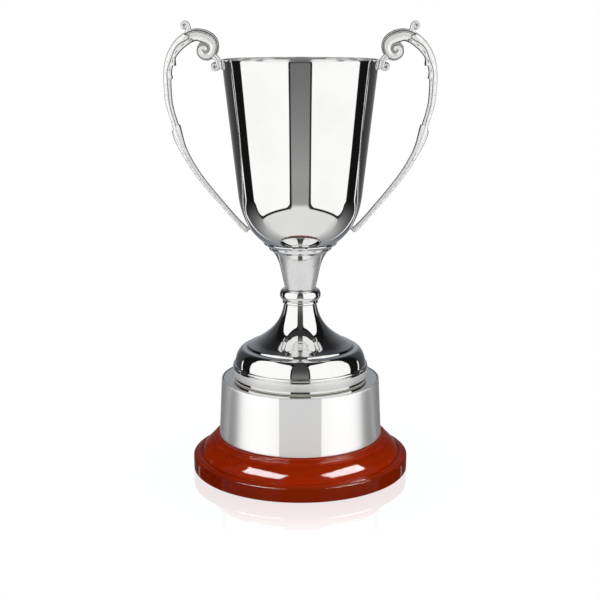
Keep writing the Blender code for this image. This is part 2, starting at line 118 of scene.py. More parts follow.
def cubic(start: tuple, end: tuple, leave: tuple, arrive: tuple, count: int) -> Array:
    """Points on the cubic from start to end that leaves and arrives along two pulls."""
    t = np.linspace(0.0, 1.0, count)[:, None]
    return hermite(t, *np.array([start, end, leave, arrive], float))


def flow(points: list, count: int = 60) -> Array:
    """Smooth curve through a few points.

    Each span is a cubic whose end slopes are the chord-weighted averages of the chords
    on either side of the point; the end points keep their own chord's slope.

    Args:
        points: Points of any dimension, in order.
        count: Number of points returned, evenly spaced along the chords.

    Returns:
        Array of shape (count, dimension).
    """
    known = np.asarray(points, float)
    chords = stretches(known)
    at = distance_along(known)
    slopes = np.diff(known, axis=0) / chords[:, None]
    inner = (slopes[:-1] * chords[1:, None] + slopes[1:] * chords[:-1, None])
    inner = inner / (chords[:-1] + chords[1:])[:, None]
    tangents = np.vstack([slopes[0], inner, slopes[-1]])
    where = np.linspace(0.0, at[-1], count)
    span = np.clip(np.searchsorted(at, where, side="right") - 1, 0, len(chords) - 1)
    size = chords[span][:, None]
    t = (where - at[span])[:, None] / size
    return hermite(t, known[span], known[span + 1], size * tangents[span],
                   size * tangents[span + 1])


def rounded(corners: list, steps: int = 8, closed: bool = False) -> Array:
    """Polyline whose corners are rounded.

    A corner (radius, height, easing) is replaced by the quadratic curve that leaves one
    side and joins the next at the easing distance from the corner; easing 0 stays sharp.

    Args:
        corners: (radius, height, easing distance) for each corner, in order.
        steps: Points on each rounded corner.
        closed: Whether the last corner runs back to the first.

    Returns:
        Array of shape (n, 2).
    """
    spots = np.array([corner[:2] for corner in corners], float)
    eases = [corner[2] for corner in corners]
    runs = []
    last = len(corners) - 1
    t = np.linspace(0.0, 1.0, steps)[:, None]
    for index, (spot, ease) in enumerate(zip(spots, eases)):
        at_end = index in (0, last) and not closed
        if ease <= 0 or at_end:
            runs.append(spot[None, :])
            continue
        before = spots[index - 1] - spot
        after = spots[(index + 1) % len(corners)] - spot
        start = spot + unit(before) * min(ease, MOST_EASING * np.linalg.norm(before))
        end = spot + unit(after) * min(ease, MOST_EASING * np.linalg.norm(after))
        runs.append((1 - t) ** 2 * start + 2 * t * (1 - t) * spot + t**2 * end)
    return np.vstack(runs)


def join(*runs: Array) -> Array:
    """Runs of points put end to end, with repeated points dropped."""
    points = np.vstack(runs)
    return points[np.concatenate([[True], stretches(points) > SAME_PLACE])]


def densify(points: Array, longest: float, closed: bool = False) -> Array:
    """Outline with every straight stretch cut into pieces no longer than a limit.

    Args:
        points: Outline points, shape (n, 2).
        longest: Longest stretch allowed.
        closed: Whether the outline runs back to its first point.

    Returns:
        Array of shape (m, 2).
    """
    ends = np.vstack([points[1:], points[:1]]) if closed else points[1:]
    starts = points if closed else points[:-1]
    runs = []
    for start, end in zip(starts, ends):
        cuts = max(int(math.ceil(np.linalg.norm(end - start) / longest)), 1)
        runs.append(line(start, end, cuts + 1)[:-1])
    if not closed:
        runs.append(points[-1:])
    return np.vstack(runs)


def smoothstep(low: float, high: float, value: Array) -> Array:
    """Zero below low, one above high, and 3t^2 - 2t^3 between."""
    t = np.clip((value - low) / (high - low), 0.0, 1.0)
    return t * t * (3 - 2 * t)


def bump(value: Array, centre: float, width: float) -> Array:
    """Bell exp(-((value - centre) / width)^2)."""
    return np.exp(-(((value - centre) / width) ** 2))


def creases(phase: Array, width: float) -> Array:
    """Narrow bell at every whole number of the phase, as wide as given."""
    return np.exp(-((((phase + 0.5) % 1.0) - 0.5) / width) ** 2)


def signed_volume(points: Array, faces: list) -> float:
    """Volume from the sum of each face fan's triple products.

    Args:
        points: Vertex places, shape (n, 3).
        faces: Vertex indices of each face.

    Returns:
        The volume, negative if the surface is inside out.
    """
    total = 0.0
    by_size = {}
    for face in faces:
        by_size.setdefault(len(face), []).append(face)
    for size, group in by_size.items():
        index = np.asarray(group)
        for step in range(1, size - 1):
            a = points[index[:, 0]]
            b = points[index[:, step]]
            c = points[index[:, step + 1]]
            total += float(np.einsum("ij,ij->", a, np.cross(b, c)))
    return total / 6.0


@dataclass
class Shell:
    """One closed surface: points, faces, and values stored on its points.

    Attributes:
        points: Vertex places, shape (n, 3), metres.
        faces: Vertex indices of each face.
        values: Named per-vertex numbers for the finishes.
        layout: Named per-vertex (u, v) pairs for the finishes.
    """

    points: Array
    faces: list
    values: dict
    layout: dict

    def outward(self) -> "Shell":
        """Turns the faces to point outward.

        Returns:
            This shell.
        """
        if signed_volume(self.points, self.faces) < 0:
            self.faces = [list(reversed(face)) for face in self.faces]
        return self

    def mirrored(self) -> "Shell":
        """Mirrors the shell across the plane x = 0.

        Returns:
            A copy that faces outward.
        """
        points = self.points * np.array([-1.0, 1.0, 1.0])
        return Shell(points, list(self.faces), dict(self.values),
                     dict(self.layout)).outward()


def grid_faces(rows: int, columns: int, wrap_rows: bool, wrap_columns: bool) -> list:
    """Quads of a rows by columns grid of points, numbered row by row.

    Args:
        rows: Points along the first parameter.
        columns: Points along the second parameter.
        wrap_rows: Whether the last row joins the first.
        wrap_columns: Whether the last column joins the first.

    Returns:
        List of four-index faces.
    """
    r = np.arange(rows if wrap_rows else rows - 1)
    c = np.arange(columns if wrap_columns else columns - 1)
    r0, c0 = np.meshgrid(r, c, indexing="ij")
    r1 = (r0 + 1) % rows
    c1 = (c0 + 1) % columns
    quads = np.stack([r0 * columns + c0, r0 * columns + c1,
                      r1 * columns + c1, r1 * columns + c0], axis=-1)
    return quads.reshape(-1, 4).tolist()


def grid_shell(points: Array, wrap_rows: bool, values: dict = None,
               layout: Array = None) -> Shell:
    """Closed shell from a grid whose columns wrap.

    With wrap_rows the grid is a ring of rings; without it each end row is closed by a
    fan of triangles to its own centre, or to its own point where the row has no width.

    Args:
        points: Array of shape (rows, columns, 3).
        wrap_rows: Whether the last row joins the first.
        values: Named arrays of shape (rows, columns).
        layout: Optional array (rows, columns, 2) for the finishes.

    Returns:
        The shell, facing outward.
    """
    rows, columns = points.shape[:2]
    faces = grid_faces(rows, columns, wrap_rows, True)
    flat = points.reshape(-1, 3)
    stored = {name: value.reshape(-1) for name, value in (values or {}).items()}
    plan = None if layout is None else layout.reshape(-1, 2)
    if not wrap_rows:
        centres = np.stack([points[0].mean(axis=0), points[-1].mean(axis=0)])
        count = len(flat)
        first = np.arange(columns)
        following = (first + 1) % columns
        base = (rows - 1) * columns
        faces += np.stack([np.full(columns, count), following, first], -1).tolist()
        faces += np.stack([np.full(columns, count + 1), base + first,
                           base + following], -1).tolist()
        flat = np.vstack([flat, centres])
        stored = {name: np.concatenate([value, [value[:columns].mean(),
                                                value[-columns:].mean()]])
                  for name, value in stored.items()}
        if plan is not None:
            plan = np.vstack([plan, plan[:columns].mean(0), plan[-columns:].mean(0)])
    plans = {} if plan is None else {"surface": plan}
    return Shell(flat, faces, stored, plans).outward()


def turned(outline: Array, segments: int = 256, closed: bool = False) -> Shell:
    """Surface of revolution: each outline point (r, z) becomes (r cos a, r sin a, z).

    Args:
        outline: Points in millimetres; an open one starts and ends on the axis.
        segments: Points round the axis.
        closed: Whether the outline runs back to its first point.

    Returns:
        Closed shell in metres.
    """
    profile = outline * MM
    run = distance_along(profile)
    if not closed:
        profile, run = profile[1:-1], run[1:-1]
    angle = np.linspace(0.0, 2 * math.pi, segments, endpoint=False)
    points = np.stack([
        profile[:, :1] * np.cos(angle), profile[:, :1] * np.sin(angle),
        np.repeat(profile[:, 1:], segments, axis=1)], axis=-1)
    layout = np.stack(np.broadcast_arrays(angle[None, :], run[:, None]), axis=-1)
    shell = grid_shell(points, closed, layout=layout)
    if not closed:
        shell.points[-2] = (0.0, 0.0, outline[0][1] * MM)
        shell.points[-1] = (0.0, 0.0, outline[-1][1] * MM)
    return shell


def merged(shells: list) -> Shell:
    """Several closed shells put into one, each keeping its own faces.

    Args:
        shells: Shells that carry the same values and layouts.

    Returns:
        One shell holding them all.
    """
    offset = 0
    faces = []
    for shell in shells:
        faces += [[index + offset for index in face] for face in shell.faces]
        offset += len(shell.points)
    names = shells[0].values.keys()
    plans = shells[0].layout.keys()
    return Shell(
        np.vstack([shell.points for shell in shells]), faces,
        {name: np.concatenate([shell.values[name] for shell in shells])
         for name in names},
        {name: np.vstack([shell.layout[name] for shell in shells])
         for name in plans})


def place(name: str, shell: Shell, finish: "Finish",
          stands_for: tuple = (), sharp_above: float = 38.0) -> bpy.types.Object:
    """Makes the object of a shell, dresses it and ties it to the frame.

    Args:
        name: Object name.
        shell: Closed surface with its place in its points.
        finish: Finish that dresses it.
        stands_for: Frame nodes that this piece replaces.
        sharp_above: Edges that fold by more degrees than this stay crisp.

    Returns:
        The object.
    """
    mesh = bpy.data.meshes.new(name)
    mesh.from_pydata(shell.points.tolist(), [], shell.faces)
    mesh.update()
    for label, value in shell.values.items():
        stored = mesh.attributes.new(label, "FLOAT", "POINT")
        stored.data.foreach_set("value", value.astype(np.float32))
    for label, plan in shell.layout.items():
        corner = np.empty(len(mesh.loops), np.int32)
        mesh.loops.foreach_get("vertex_index", corner)
        uv = mesh.uv_layers.new(name=label)
        uv.data.foreach_set("uv", plan[corner].astype(np.float32).ravel())
    mesh.shade_smooth()
    mesh.set_sharp_from_angle(angle=math.radians(sharp_above))
    piece = bpy.data.objects.new(name, mesh)
    bpy.context.scene.collection.objects.link(piece)
    mesh.materials.append(finish.material())
    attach(piece, BODY)
    if stands_for:
        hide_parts(*stands_for)
    triangles = sum(len(face) - 2 for face in shell.faces)
    LOG.info("%s: %d triangles, finish %s", name, triangles, type(finish).__name__)
    return piece


# ---------------------------------------------------------------- node graphs


class Graph:
    """Short way to write a shader node graph.

    Wherever a method takes a value, it may be a number, a colour of three or four
    channels, or the output of another node.
    """

    def __init__(self, tree: bpy.types.NodeTree) -> None:
        """Keeps the tree that the nodes go into."""
        self.tree = tree

    def node(self, kind: str, **settings: object) -> bpy.types.Node:
        """Adds a node.

        Args:
            kind: Type name of the node.
            **settings: Properties to set on it.

        Returns:
            The node.
        """
        made = self.tree.nodes.new(kind)
        for name, value in settings.items():
            setattr(made, name, value)
        return made

    def feed(self, node: bpy.types.Node, values: dict) -> None:
        """Links inputs of a node to outputs, or sets them to numbers or colours.

        Args:
            node: The node.
            values: Value for each input, by the input's name or number. A colour of
                three channels is made opaque.
        """
        for place_in, value in values.items():
            socket = node.inputs[place_in]
            if isinstance(value, bpy.types.NodeSocket):
                self.tree.links.new(value, socket)
            elif socket.type == "RGBA" and len(value) == 3:
                socket.default_value = (*value, 1.0)
            else:
                socket.default_value = value

    def result(self, kind: str, values: dict, output: object = 0,
               **settings: object) -> bpy.types.NodeSocket:
        """Adds a node, feeds it and gives one of its outputs.

        Args:
            kind: Type name of the node.
            values: Value for each input, by the input's name or number.
            output: Name or number of the output.
            **settings: Properties to set on the node.

        Returns:
            The output.
        """
        made = self.node(kind, **settings)
        self.feed(made, values)
        return made.outputs[output]

    def math(self, operation: str, *values: object) -> bpy.types.NodeSocket:
        """Result of a math node."""
        return self.result("ShaderNodeMath", dict(enumerate(values)),
                           operation=operation)

    def plus(self, first: object, second: object) -> bpy.types.NodeSocket:
        """Sum of two values."""
        return self.math("ADD", first, second)

    def minus(self, first: object, second: object) -> bpy.types.NodeSocket:
        """First value less the second."""
        return self.math("SUBTRACT", first, second)

    def times(self, first: object, second: object) -> bpy.types.NodeSocket:
        """Product of two values."""
        return self.math("MULTIPLY", first, second)

    def over(self, first: object, second: object) -> bpy.types.NodeSocket:
        """First value divided by the second."""
        return self.math("DIVIDE", first, second)

    def scaled(self, value: object, factor: object,
               added: object) -> bpy.types.NodeSocket:
        """Value times the factor, plus what is added."""
        return self.math("MULTIPLY_ADD", value, factor, added)

    def most(self, first: object, second: object) -> bpy.types.NodeSocket:
        """Greater of two values."""
        return self.math("MAXIMUM", first, second)

    def step(self, value: object, low: float, high: float, to_low: float = 0.0,
             to_high: float = 1.0) -> bpy.types.NodeSocket:
        """Value eased from to_low to to_high as it runs from low to high."""
        inputs = dict(enumerate((value, low, high, to_low, to_high)))
        return self.result("ShaderNodeMapRange", inputs,
                           interpolation_type="SMOOTHSTEP")

    def ramp(self, value: object, stops: tuple) -> bpy.types.NodeSocket:
        """Colour read from a ramp.

        Args:
            value: Place on the ramp.
            stops: (place, (r, g, b)) or (place, grey level) for each stop.

        Returns:
            The colour.
        """
        made = self.node("ShaderNodeValToRGB")
        elements = made.color_ramp.elements
        while len(elements) < len(stops):
            elements.new(1.0)
        for element, (at, colour) in zip(elements, stops):
            element.position = at
            channels = (colour,) * 3 if isinstance(colour, float) else colour
            element.color = (*channels, 1.0)
        self.feed(made, {0: value})
        return made.outputs[0]

    def blend(self, share: object, first: object, second: object,
              mode: str = "MIX") -> bpy.types.NodeSocket:
        """Colour mixed from first to second by a share."""
        return self.result("ShaderNodeMix", {0: share, 6: first, 7: second}, 2,
                           data_type="RGBA", blend_type=mode)

    def layer(self, under: object, over: object,
              share: object) -> bpy.types.NodeSocket:
        """Number mixed from under to over by a share."""
        return self.result("ShaderNodeMix", {0: share, 2: under, 3: over},
                           data_type="FLOAT")

    def stretched(self, source: bpy.types.NodeSocket,
                  scale: tuple) -> bpy.types.NodeSocket:
        """Coordinates multiplied by a scale for each axis."""
        return self.result("ShaderNodeMapping", {"Vector": source, "Scale": scale})

    def noise(self, source: bpy.types.NodeSocket, scale: float, detail: float = 3.0,
              roughness: float = 0.5, distortion: float = 0.0) -> bpy.types.NodeSocket:
        """Value of a noise texture on given coordinates."""
        return self.result("ShaderNodeTexNoise", {
            "Vector": source, "Scale": scale, "Detail": detail,
            "Roughness": roughness, "Distortion": distortion})

    def drawn(self, source: bpy.types.NodeSocket, scale: tuple, detail: float,
              roughness: float = 0.5, distortion: float = 0.0) -> bpy.types.NodeSocket:
        """Noise drawn out by a scale for each axis."""
        return self.noise(self.stretched(source, scale), 1.0, detail, roughness,
                          distortion)

    def axes(self, source: bpy.types.NodeSocket) -> tuple:
        """The x, y and z of a vector."""
        made = self.node("ShaderNodeSeparateXYZ")
        self.feed(made, {0: source})
        return tuple(made.outputs)

    def own_place(self) -> bpy.types.NodeSocket:
        """Coordinates fixed to the piece."""
        return self.result("ShaderNodeTexCoord", {}, "Object")

    def surface_place(self) -> bpy.types.NodeSocket:
        """Angle round the axis and distance along the outline of a turned piece."""
        return self.result("ShaderNodeUVMap", {}, uv_map="surface")

    def relief(self) -> bpy.types.NodeSocket:
        """Stored relief value, 0 in the grounds and 1 on the ridges; it holds the
        modelling's height and also painted shade on edges, a notch and hidden backs.
        """
        return self.result("ShaderNodeAttribute", {}, "Fac", attribute_name="relief")

    def bumped(self, height: object, strength: float,
               distance: float) -> bpy.types.NodeSocket:
        """Normal tilted by a height."""
        return self.result("ShaderNodeBump", {
            "Strength": strength, "Distance": distance, "Height": height})


class Finish:
    """A surface finish that can dress pieces with its material."""

    label = "finish"

    def material(self) -> bpy.types.Material:
        """The finish's material, made once for each set of its fields.

        Returns:
            The material.
        """
        name = f"{self.label}_{self.key()}"
        found = bpy.data.materials.get(name)
        if found:
            return found
        made = bpy.data.materials.new(name)
        made.use_nodes = True
        graph = Graph(made.node_tree)
        graph.feed(made.node_tree.nodes["Principled BSDF"], self.inputs(graph))
        return made

    def key(self) -> str:
        """Word that tells this finish from others of its kind."""
        return "plain"

    def inputs(self, graph: Graph) -> dict:
        """Values for the surface shader's inputs; each finish has its own."""
        raise NotImplementedError


def dulled(tone: tuple, share: float) -> tuple:
    """Colour multiplied by a share."""
    return tuple(channel * share for channel in tone)


@dataclass(frozen=True)
class MirrorNickel(Finish):
    """Buffed nickel plate: faint turning lines, hairline scuffs and soft haze.

    Attributes:
        name: Word for this use of the plate.
        tone: Reflected colour.
        haze: Roughness of the clean plate.
        satin: Extra roughness where the buff could not reach.
        satin_matt: Share of that satin zone's reflection that is scattered.
        satin_bottom: Height where the satin zone begins, metres.
        satin_top: Height where it has faded out, metres.
        satin_fade: Height over which it fades, metres.
        inner_haze: Extra roughness of faces that look towards the axis.
    """

    name: str = "bowl"
    tone: tuple = (0.83, 0.83, 0.825)
    haze: float = 0.025
    satin: float = 0.0
    satin_matt: float = 0.0
    satin_bottom: float = -1.0
    satin_top: float = 0.0
    satin_fade: float = 0.012
    inner_haze: float = 0.0
    label = "mirror_nickel"
    turning_scale = (0.35, 5200.0, 1.0)
    scuff_scale = (900.0, 140.0, 420.0)
    cloud_scale = 38.0

    def key(self) -> str:
        """The name of this use."""
        return self.name

    def satin_zone(self, graph: Graph, height: object) -> bpy.types.NodeSocket:
        """1 inside the satin zone and 0 outside, eased at its ends.

        Args:
            graph: Graph that the nodes go into.
            height: Height of the point, metres.

        Returns:
            Share of the zone.
        """
        below = graph.step(height, self.satin_top - self.satin_fade, self.satin_top,
                           1.0, 0.0)
        above = graph.step(height, self.satin_bottom,
                           self.satin_bottom + self.satin_fade)
        return graph.times(below, above)

    def inward(self, graph: Graph, place_on: object) -> bpy.types.NodeSocket:
        """Extra roughness of faces whose normal points towards the axis.

        It goes by the dot product of the normal and the point's place from the axis.

        Args:
            graph: Graph that the nodes go into.
            place_on: Coordinates fixed to the piece.

        Returns:
            The extra roughness.
        """
        flat = graph.result("ShaderNodeVectorMath", {0: place_on, 1: (1.0, 1.0, 0.0)},
                            operation="MULTIPLY")
        normal = graph.result("ShaderNodeNewGeometry", {}, "Normal")
        facing = graph.result("ShaderNodeVectorMath", {0: flat, 1: normal}, "Value",
                              operation="DOT_PRODUCT")
        return graph.step(facing, -0.012, 0.0, self.inner_haze, 0.0)

    def inputs(self, graph: Graph) -> dict:
        """Plate with turning lines round the axis and a few random scuffs.

        Args:
            graph: Graph that the nodes go into.

        Returns:
            Values for the shader's inputs.
        """
        place_on = graph.own_place()
        lines = graph.drawn(graph.surface_place(), self.turning_scale, 2.0)
        cloud = graph.noise(place_on, self.cloud_scale, 4.0, 0.6)
        scuff = graph.drawn(place_on, self.scuff_scale, 2.0, 0.7, 0.6)
        rough = graph.scaled(cloud, 0.020, self.haze - 0.008)
        rough = graph.scaled(graph.step(scuff, 0.60, 0.78), 0.05, rough)
        rough = graph.scaled(lines, 0.010, rough)
        metallic = 1.0
        if self.satin:
            zone = self.satin_zone(graph, graph.axes(place_on)[2])
            rough = graph.scaled(zone, self.satin, rough)
            metallic = graph.scaled(zone, -self.satin_matt, 1.0)
        if self.inner_haze:
            rough = graph.plus(rough, self.inward(graph, place_on))
        return {
            "Base Color": graph.blend(graph.step(cloud, 0.35, 0.75), self.tone,
                                      dulled(self.tone, 0.955)),
            "Metallic": metallic,
            "Roughness": rough,
            "Normal": graph.bumped(lines, 0.0015, 0.00002)}


@dataclass(frozen=True)
class BrushedBand(Finish):
    """Band plate brushed round the drum, with a matt enamelled blank panel in front.

    Attributes:
        panel_half_width: Half the panel's width, metres.
        tone: Reflected colour of the brushed plate.
        panel_tone: Colour of the panel.
    """

    panel_half_width: float
    tone: tuple = (0.97, 0.97, 0.968)
    panel_tone: tuple = (0.655, 0.655, 0.655)
    label = "brushed_band"
    brush_scale = (12.0, 12.0, 5200.0)
    cloud_scale = 30.0
    panel_blur = 0.0001

    def inputs(self, graph: Graph) -> dict:
        """Brush lines run round the band; the panel is bounded by planes in x.

        Args:
            graph: Graph that the nodes go into.

        Returns:
            Values for the shader's inputs.
        """
        place_on = graph.own_place()
        sideways, deep = graph.axes(place_on)[:2]
        inside = graph.step(graph.math("ABSOLUTE", sideways),
                            self.panel_half_width - self.panel_blur,
                            self.panel_half_width + self.panel_blur, 1.0, 0.0)
        panel = graph.times(inside, graph.math("LESS_THAN", deep, 0.0))
        lines = graph.drawn(place_on, self.brush_scale, 4.0, 0.7)
        cloud = graph.noise(place_on, self.cloud_scale, 3.0)
        rough = graph.scaled(lines, 0.08, 0.26)
        rough = graph.scaled(cloud, 0.02, rough)
        rough = graph.scaled(panel, 0.35, rough)
        plate = graph.blend(cloud, self.tone, dulled(self.tone, 0.975))
        return {
            "Base Color": graph.blend(panel, plate, self.panel_tone),
            "Metallic": graph.step(panel, 0.0, 1.0, 0.80, 0.0),
            "Roughness": rough,
            "Normal": graph.bumped(lines, 0.05, 0.00002)}


@dataclass(frozen=True)
class CastSilver(Finish):
    """Silver-plated casting: bright ridges, and frosted grounds darkened as painted shade.

    Attributes:
        ridge: Colour of the worn, buffed ridges.
        slope: Colour high on the sides of the modelling, half darkened as painted shade.
        hollow: Colour low on the sides of the modelling, darkened as painted shade.
        ground: Colour at the bottom of the modelling, near black as painted shade.
    """

    ridge: tuple = (0.98, 0.98, 0.97)
    slope: tuple = (0.50, 0.50, 0.49)
    hollow: tuple = (0.10, 0.10, 0.097)
    ground: tuple = (0.035, 0.035, 0.033)
    label = "cast_silver"
    grain_scale = 1900.0
    cloud_scale = 160.0

    def inputs(self, graph: Graph) -> dict:
        """Colour and roughness follow the stored relief, with a fine cast grain. The
        colour ramp paints shade: near black in the grounds, white on the ridges.

        Args:
            graph: Graph that the nodes go into.

        Returns:
            Values for the shader's inputs.
        """
        place_on = graph.own_place()
        grain = graph.noise(place_on, self.grain_scale, 3.0, 0.6)
        cloud = graph.noise(place_on, self.cloud_scale, 3.0)
        height = graph.plus(graph.scaled(cloud, 0.06, graph.relief()), -0.03)
        rough = graph.step(height, 0.05, 0.9, 0.50, 0.26)
        return {
            # Painted shade: colour runs from near-black grounds through darkened hollows
            # to white ridges.
            "Base Color": graph.ramp(height, (
                (0.0, self.ground), (0.30, self.hollow), (0.55, self.slope),
                (0.8, self.ridge))),
            "Metallic": 0.35,
            "Roughness": graph.scaled(grain, 0.08, rough),
            "Normal": graph.bumped(grain, 0.03, 0.00005)}


@dataclass(frozen=True)
class LacqueredRosewood(Finish):
    """Red-brown stained hardwood under a thick gloss lacquer.

    Attributes:
        edge_top: Height of the top of the upright edge; below it the colour is darkened as
            painted shade.
        light: Colour of the open grain.
        middle: Main stain colour.
        dark: Colour of the closed grain lines.
    """

    edge_top: float
    light: tuple = (0.34, 0.023, 0.0011)
    middle: tuple = (0.295, 0.017, 0.0009)
    dark: tuple = (0.20, 0.007, 0.0006)
    label = "lacquered_rosewood"
    bend_scale = (5.0, 22.0, 22.0)
    figure_scale = (14.0, 330.0, 330.0)
    pore_scale = (110.0, 2600.0, 2600.0)

    def inputs(self, graph: Graph) -> dict:
        """Grain runs along X through the blank, as planes bent by slow noise.

        Args:
            graph: Graph that the nodes go into.

        Returns:
            Values for the shader's inputs.
        """
        place_on = graph.own_place()
        bend = graph.drawn(place_on, self.bend_scale, 3.0)
        figure = graph.drawn(place_on, self.figure_scale, 5.0, 0.6, 0.8)
        pores = graph.drawn(place_on, self.pore_scale, 3.0, 0.7)
        mixed = graph.scaled(bend, 0.55, graph.times(figure, 0.45))
        grain = graph.ramp(mixed, (
            (0.32, self.dark), (0.45, self.middle), (0.58, self.light),
            (0.74, self.middle)))
        pored = graph.times(graph.step(pores, 0.60, 0.72), 0.35)
        # Painted shade: below edge_top the wood's colour is scaled to 0.55, standing in
        # for the weaker light on the upright edge.
        shade = graph.step(graph.axes(place_on)[2], self.edge_top - 0.0008,
                           self.edge_top + 0.0006, 0.55, 1.0)
        colour = graph.result("ShaderNodeVectorMath", {
            0: graph.blend(pored, grain, self.dark), "Scale": shade}, operation="SCALE")
        return {
            "Base Color": colour,
            "Roughness": graph.scaled(figure, 0.12, 0.42),
            "Normal": graph.bumped(figure, 0.02, 0.0001),
            "Specular IOR Level": 0.0,
            "Coat Weight": 1.0,
            "Coat Roughness": 0.012,
            "Coat IOR": 1.12}


@dataclass(frozen=True)
class Felt(Finish):
    """Pressed wool felt.

    Attributes:
        tone: Colour of the wool.
        shade: Colour between the fibres.
    """

    tone: tuple = (0.020, 0.085, 0.045)
    shade: tuple = (0.006, 0.030, 0.016)
    label = "felt"
    fibre_scale = 1400.0
    patch_scale = 60.0

    def inputs(self, graph: Graph) -> dict:
        """Matted fibres from two scales of noise.

        Args:
            graph: Graph that the nodes go into.

        Returns:
            Values for the shader's inputs.
        """
        place_on = graph.own_place()
        fibre = graph.noise(place_on, self.fibre_scale, 5.0, 0.75, 2.0)
        patch = graph.noise(place_on, self.patch_scale, 3.0)
        share = graph.step(graph.scaled(patch, 0.3, fibre), 0.45, 0.85)
        return {
            "Base Color": graph.blend(share, self.shade, self.tone),
            "Roughness": 0.95,
            "Sheen Weight": 0.4,
            "Normal": graph.bumped(fibre, 0.6, 0.0004)}


@dataclass(frozen=True)
class PressedBoard(Finish):
    """Card or fibre with a fine fleck.

    Attributes:
        name: Word for this board.
        tone: Colour of the board.
        fleck: Colour of the flecks.
    """

    name: str
    tone: tuple
    fleck: tuple
    label = "pressed_board"
    fleck_scale = (900.0, 900.0, 3000.0)

    def key(self) -> str:
        """The name of the board."""
        return self.name

    def inputs(self, graph: Graph) -> dict:
        """Flecks drawn out along the board.

        Args:
            graph: Graph that the nodes go into.

        Returns:
            Values for the shader's inputs.
        """
        fleck = graph.drawn(graph.own_place(), self.fleck_scale, 4.0, 0.7)
        return {
            "Base Color": graph.blend(graph.step(fleck, 0.4, 0.7), self.tone,
                                      self.fleck),
            "Roughness": graph.step(fleck, 0.2, 0.8, 0.7, 0.9),
            "Normal": graph.bumped(fleck, 0.3, 0.0001)}


@dataclass(frozen=True)
class TurnedMetal(Finish):
    """Machined fixing metal with tool marks and handling stains.

    Attributes:
        name: Word for the metal.
        tone: Colour of the clean metal.
        stain: Colour of the dulled metal.
        polish: Roughness of the clean metal.
    """

    name: str
    tone: tuple
    stain: tuple
    polish: float = 0.28
    label = "turned_metal"
    mark_scale = (60.0, 60.0, 6000.0)
    stain_scale = 240.0

    def key(self) -> str:
        """The name of the metal."""
        return self.name

    def inputs(self, graph: Graph) -> dict:
        """Tool marks from height, stains from slow noise.

        Args:
            graph: Graph that the nodes go into.

        Returns:
            Values for the shader's inputs.
        """
        place_on = graph.own_place()
        marks = graph.drawn(place_on, self.mark_scale, 2.0)
        stain = graph.noise(place_on, self.stain_scale, 4.0, 0.65)
        return {
            "Base Color": graph.blend(graph.step(stain, 0.45, 0.75), self.tone,
                                      self.stain),
            "Metallic": 1.0,
            "Roughness": graph.scaled(stain, 0.25, self.polish),
            "Normal": graph.bumped(marks, 0.12, 0.00004)}


# ---------------------------------------------------------------- sizes from the frame


@dataclass(frozen=True)
class Span:
    """Radius and heights of a turned node, millimetres.

    Attributes:
        radius: Greatest radius.
        bottom: Lowest height.
        top: Greatest height.
    """

    radius: float
    bottom: float
    top: float

    @classmethod
    def of(cls, node: str) -> "Span":
        """Span of a frame node from its box."""
        low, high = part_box(node)
        return cls(high.x / MM, low.z / MM, high.z / MM)

    def up(self, points: list) -> list:
        """Points (radius, height above the node's bottom, ...) moved to the node."""
        return [(point[0], point[1] + self.bottom, *point[2:]) for point in points]


def offset(points: Array, distance: float) -> Array:
    """Run of points moved sideways, to the left of the way it runs.

    Each point moves along the average normal of the two stretches that meet there.

    Args:
        points: Points, shape (n, 2).
        distance: How far they move.

    Returns:
        The moved points.
    """
    runs = unit(np.diff(points, axis=0))
    along = unit(np.vstack([runs[:1], runs[:-1] + runs[1:], runs[-1:]]))
    return points + np.stack([-along[:, 1], along[:, 0]], axis=1) * distance


# ---------------------------------------------------------------- cup


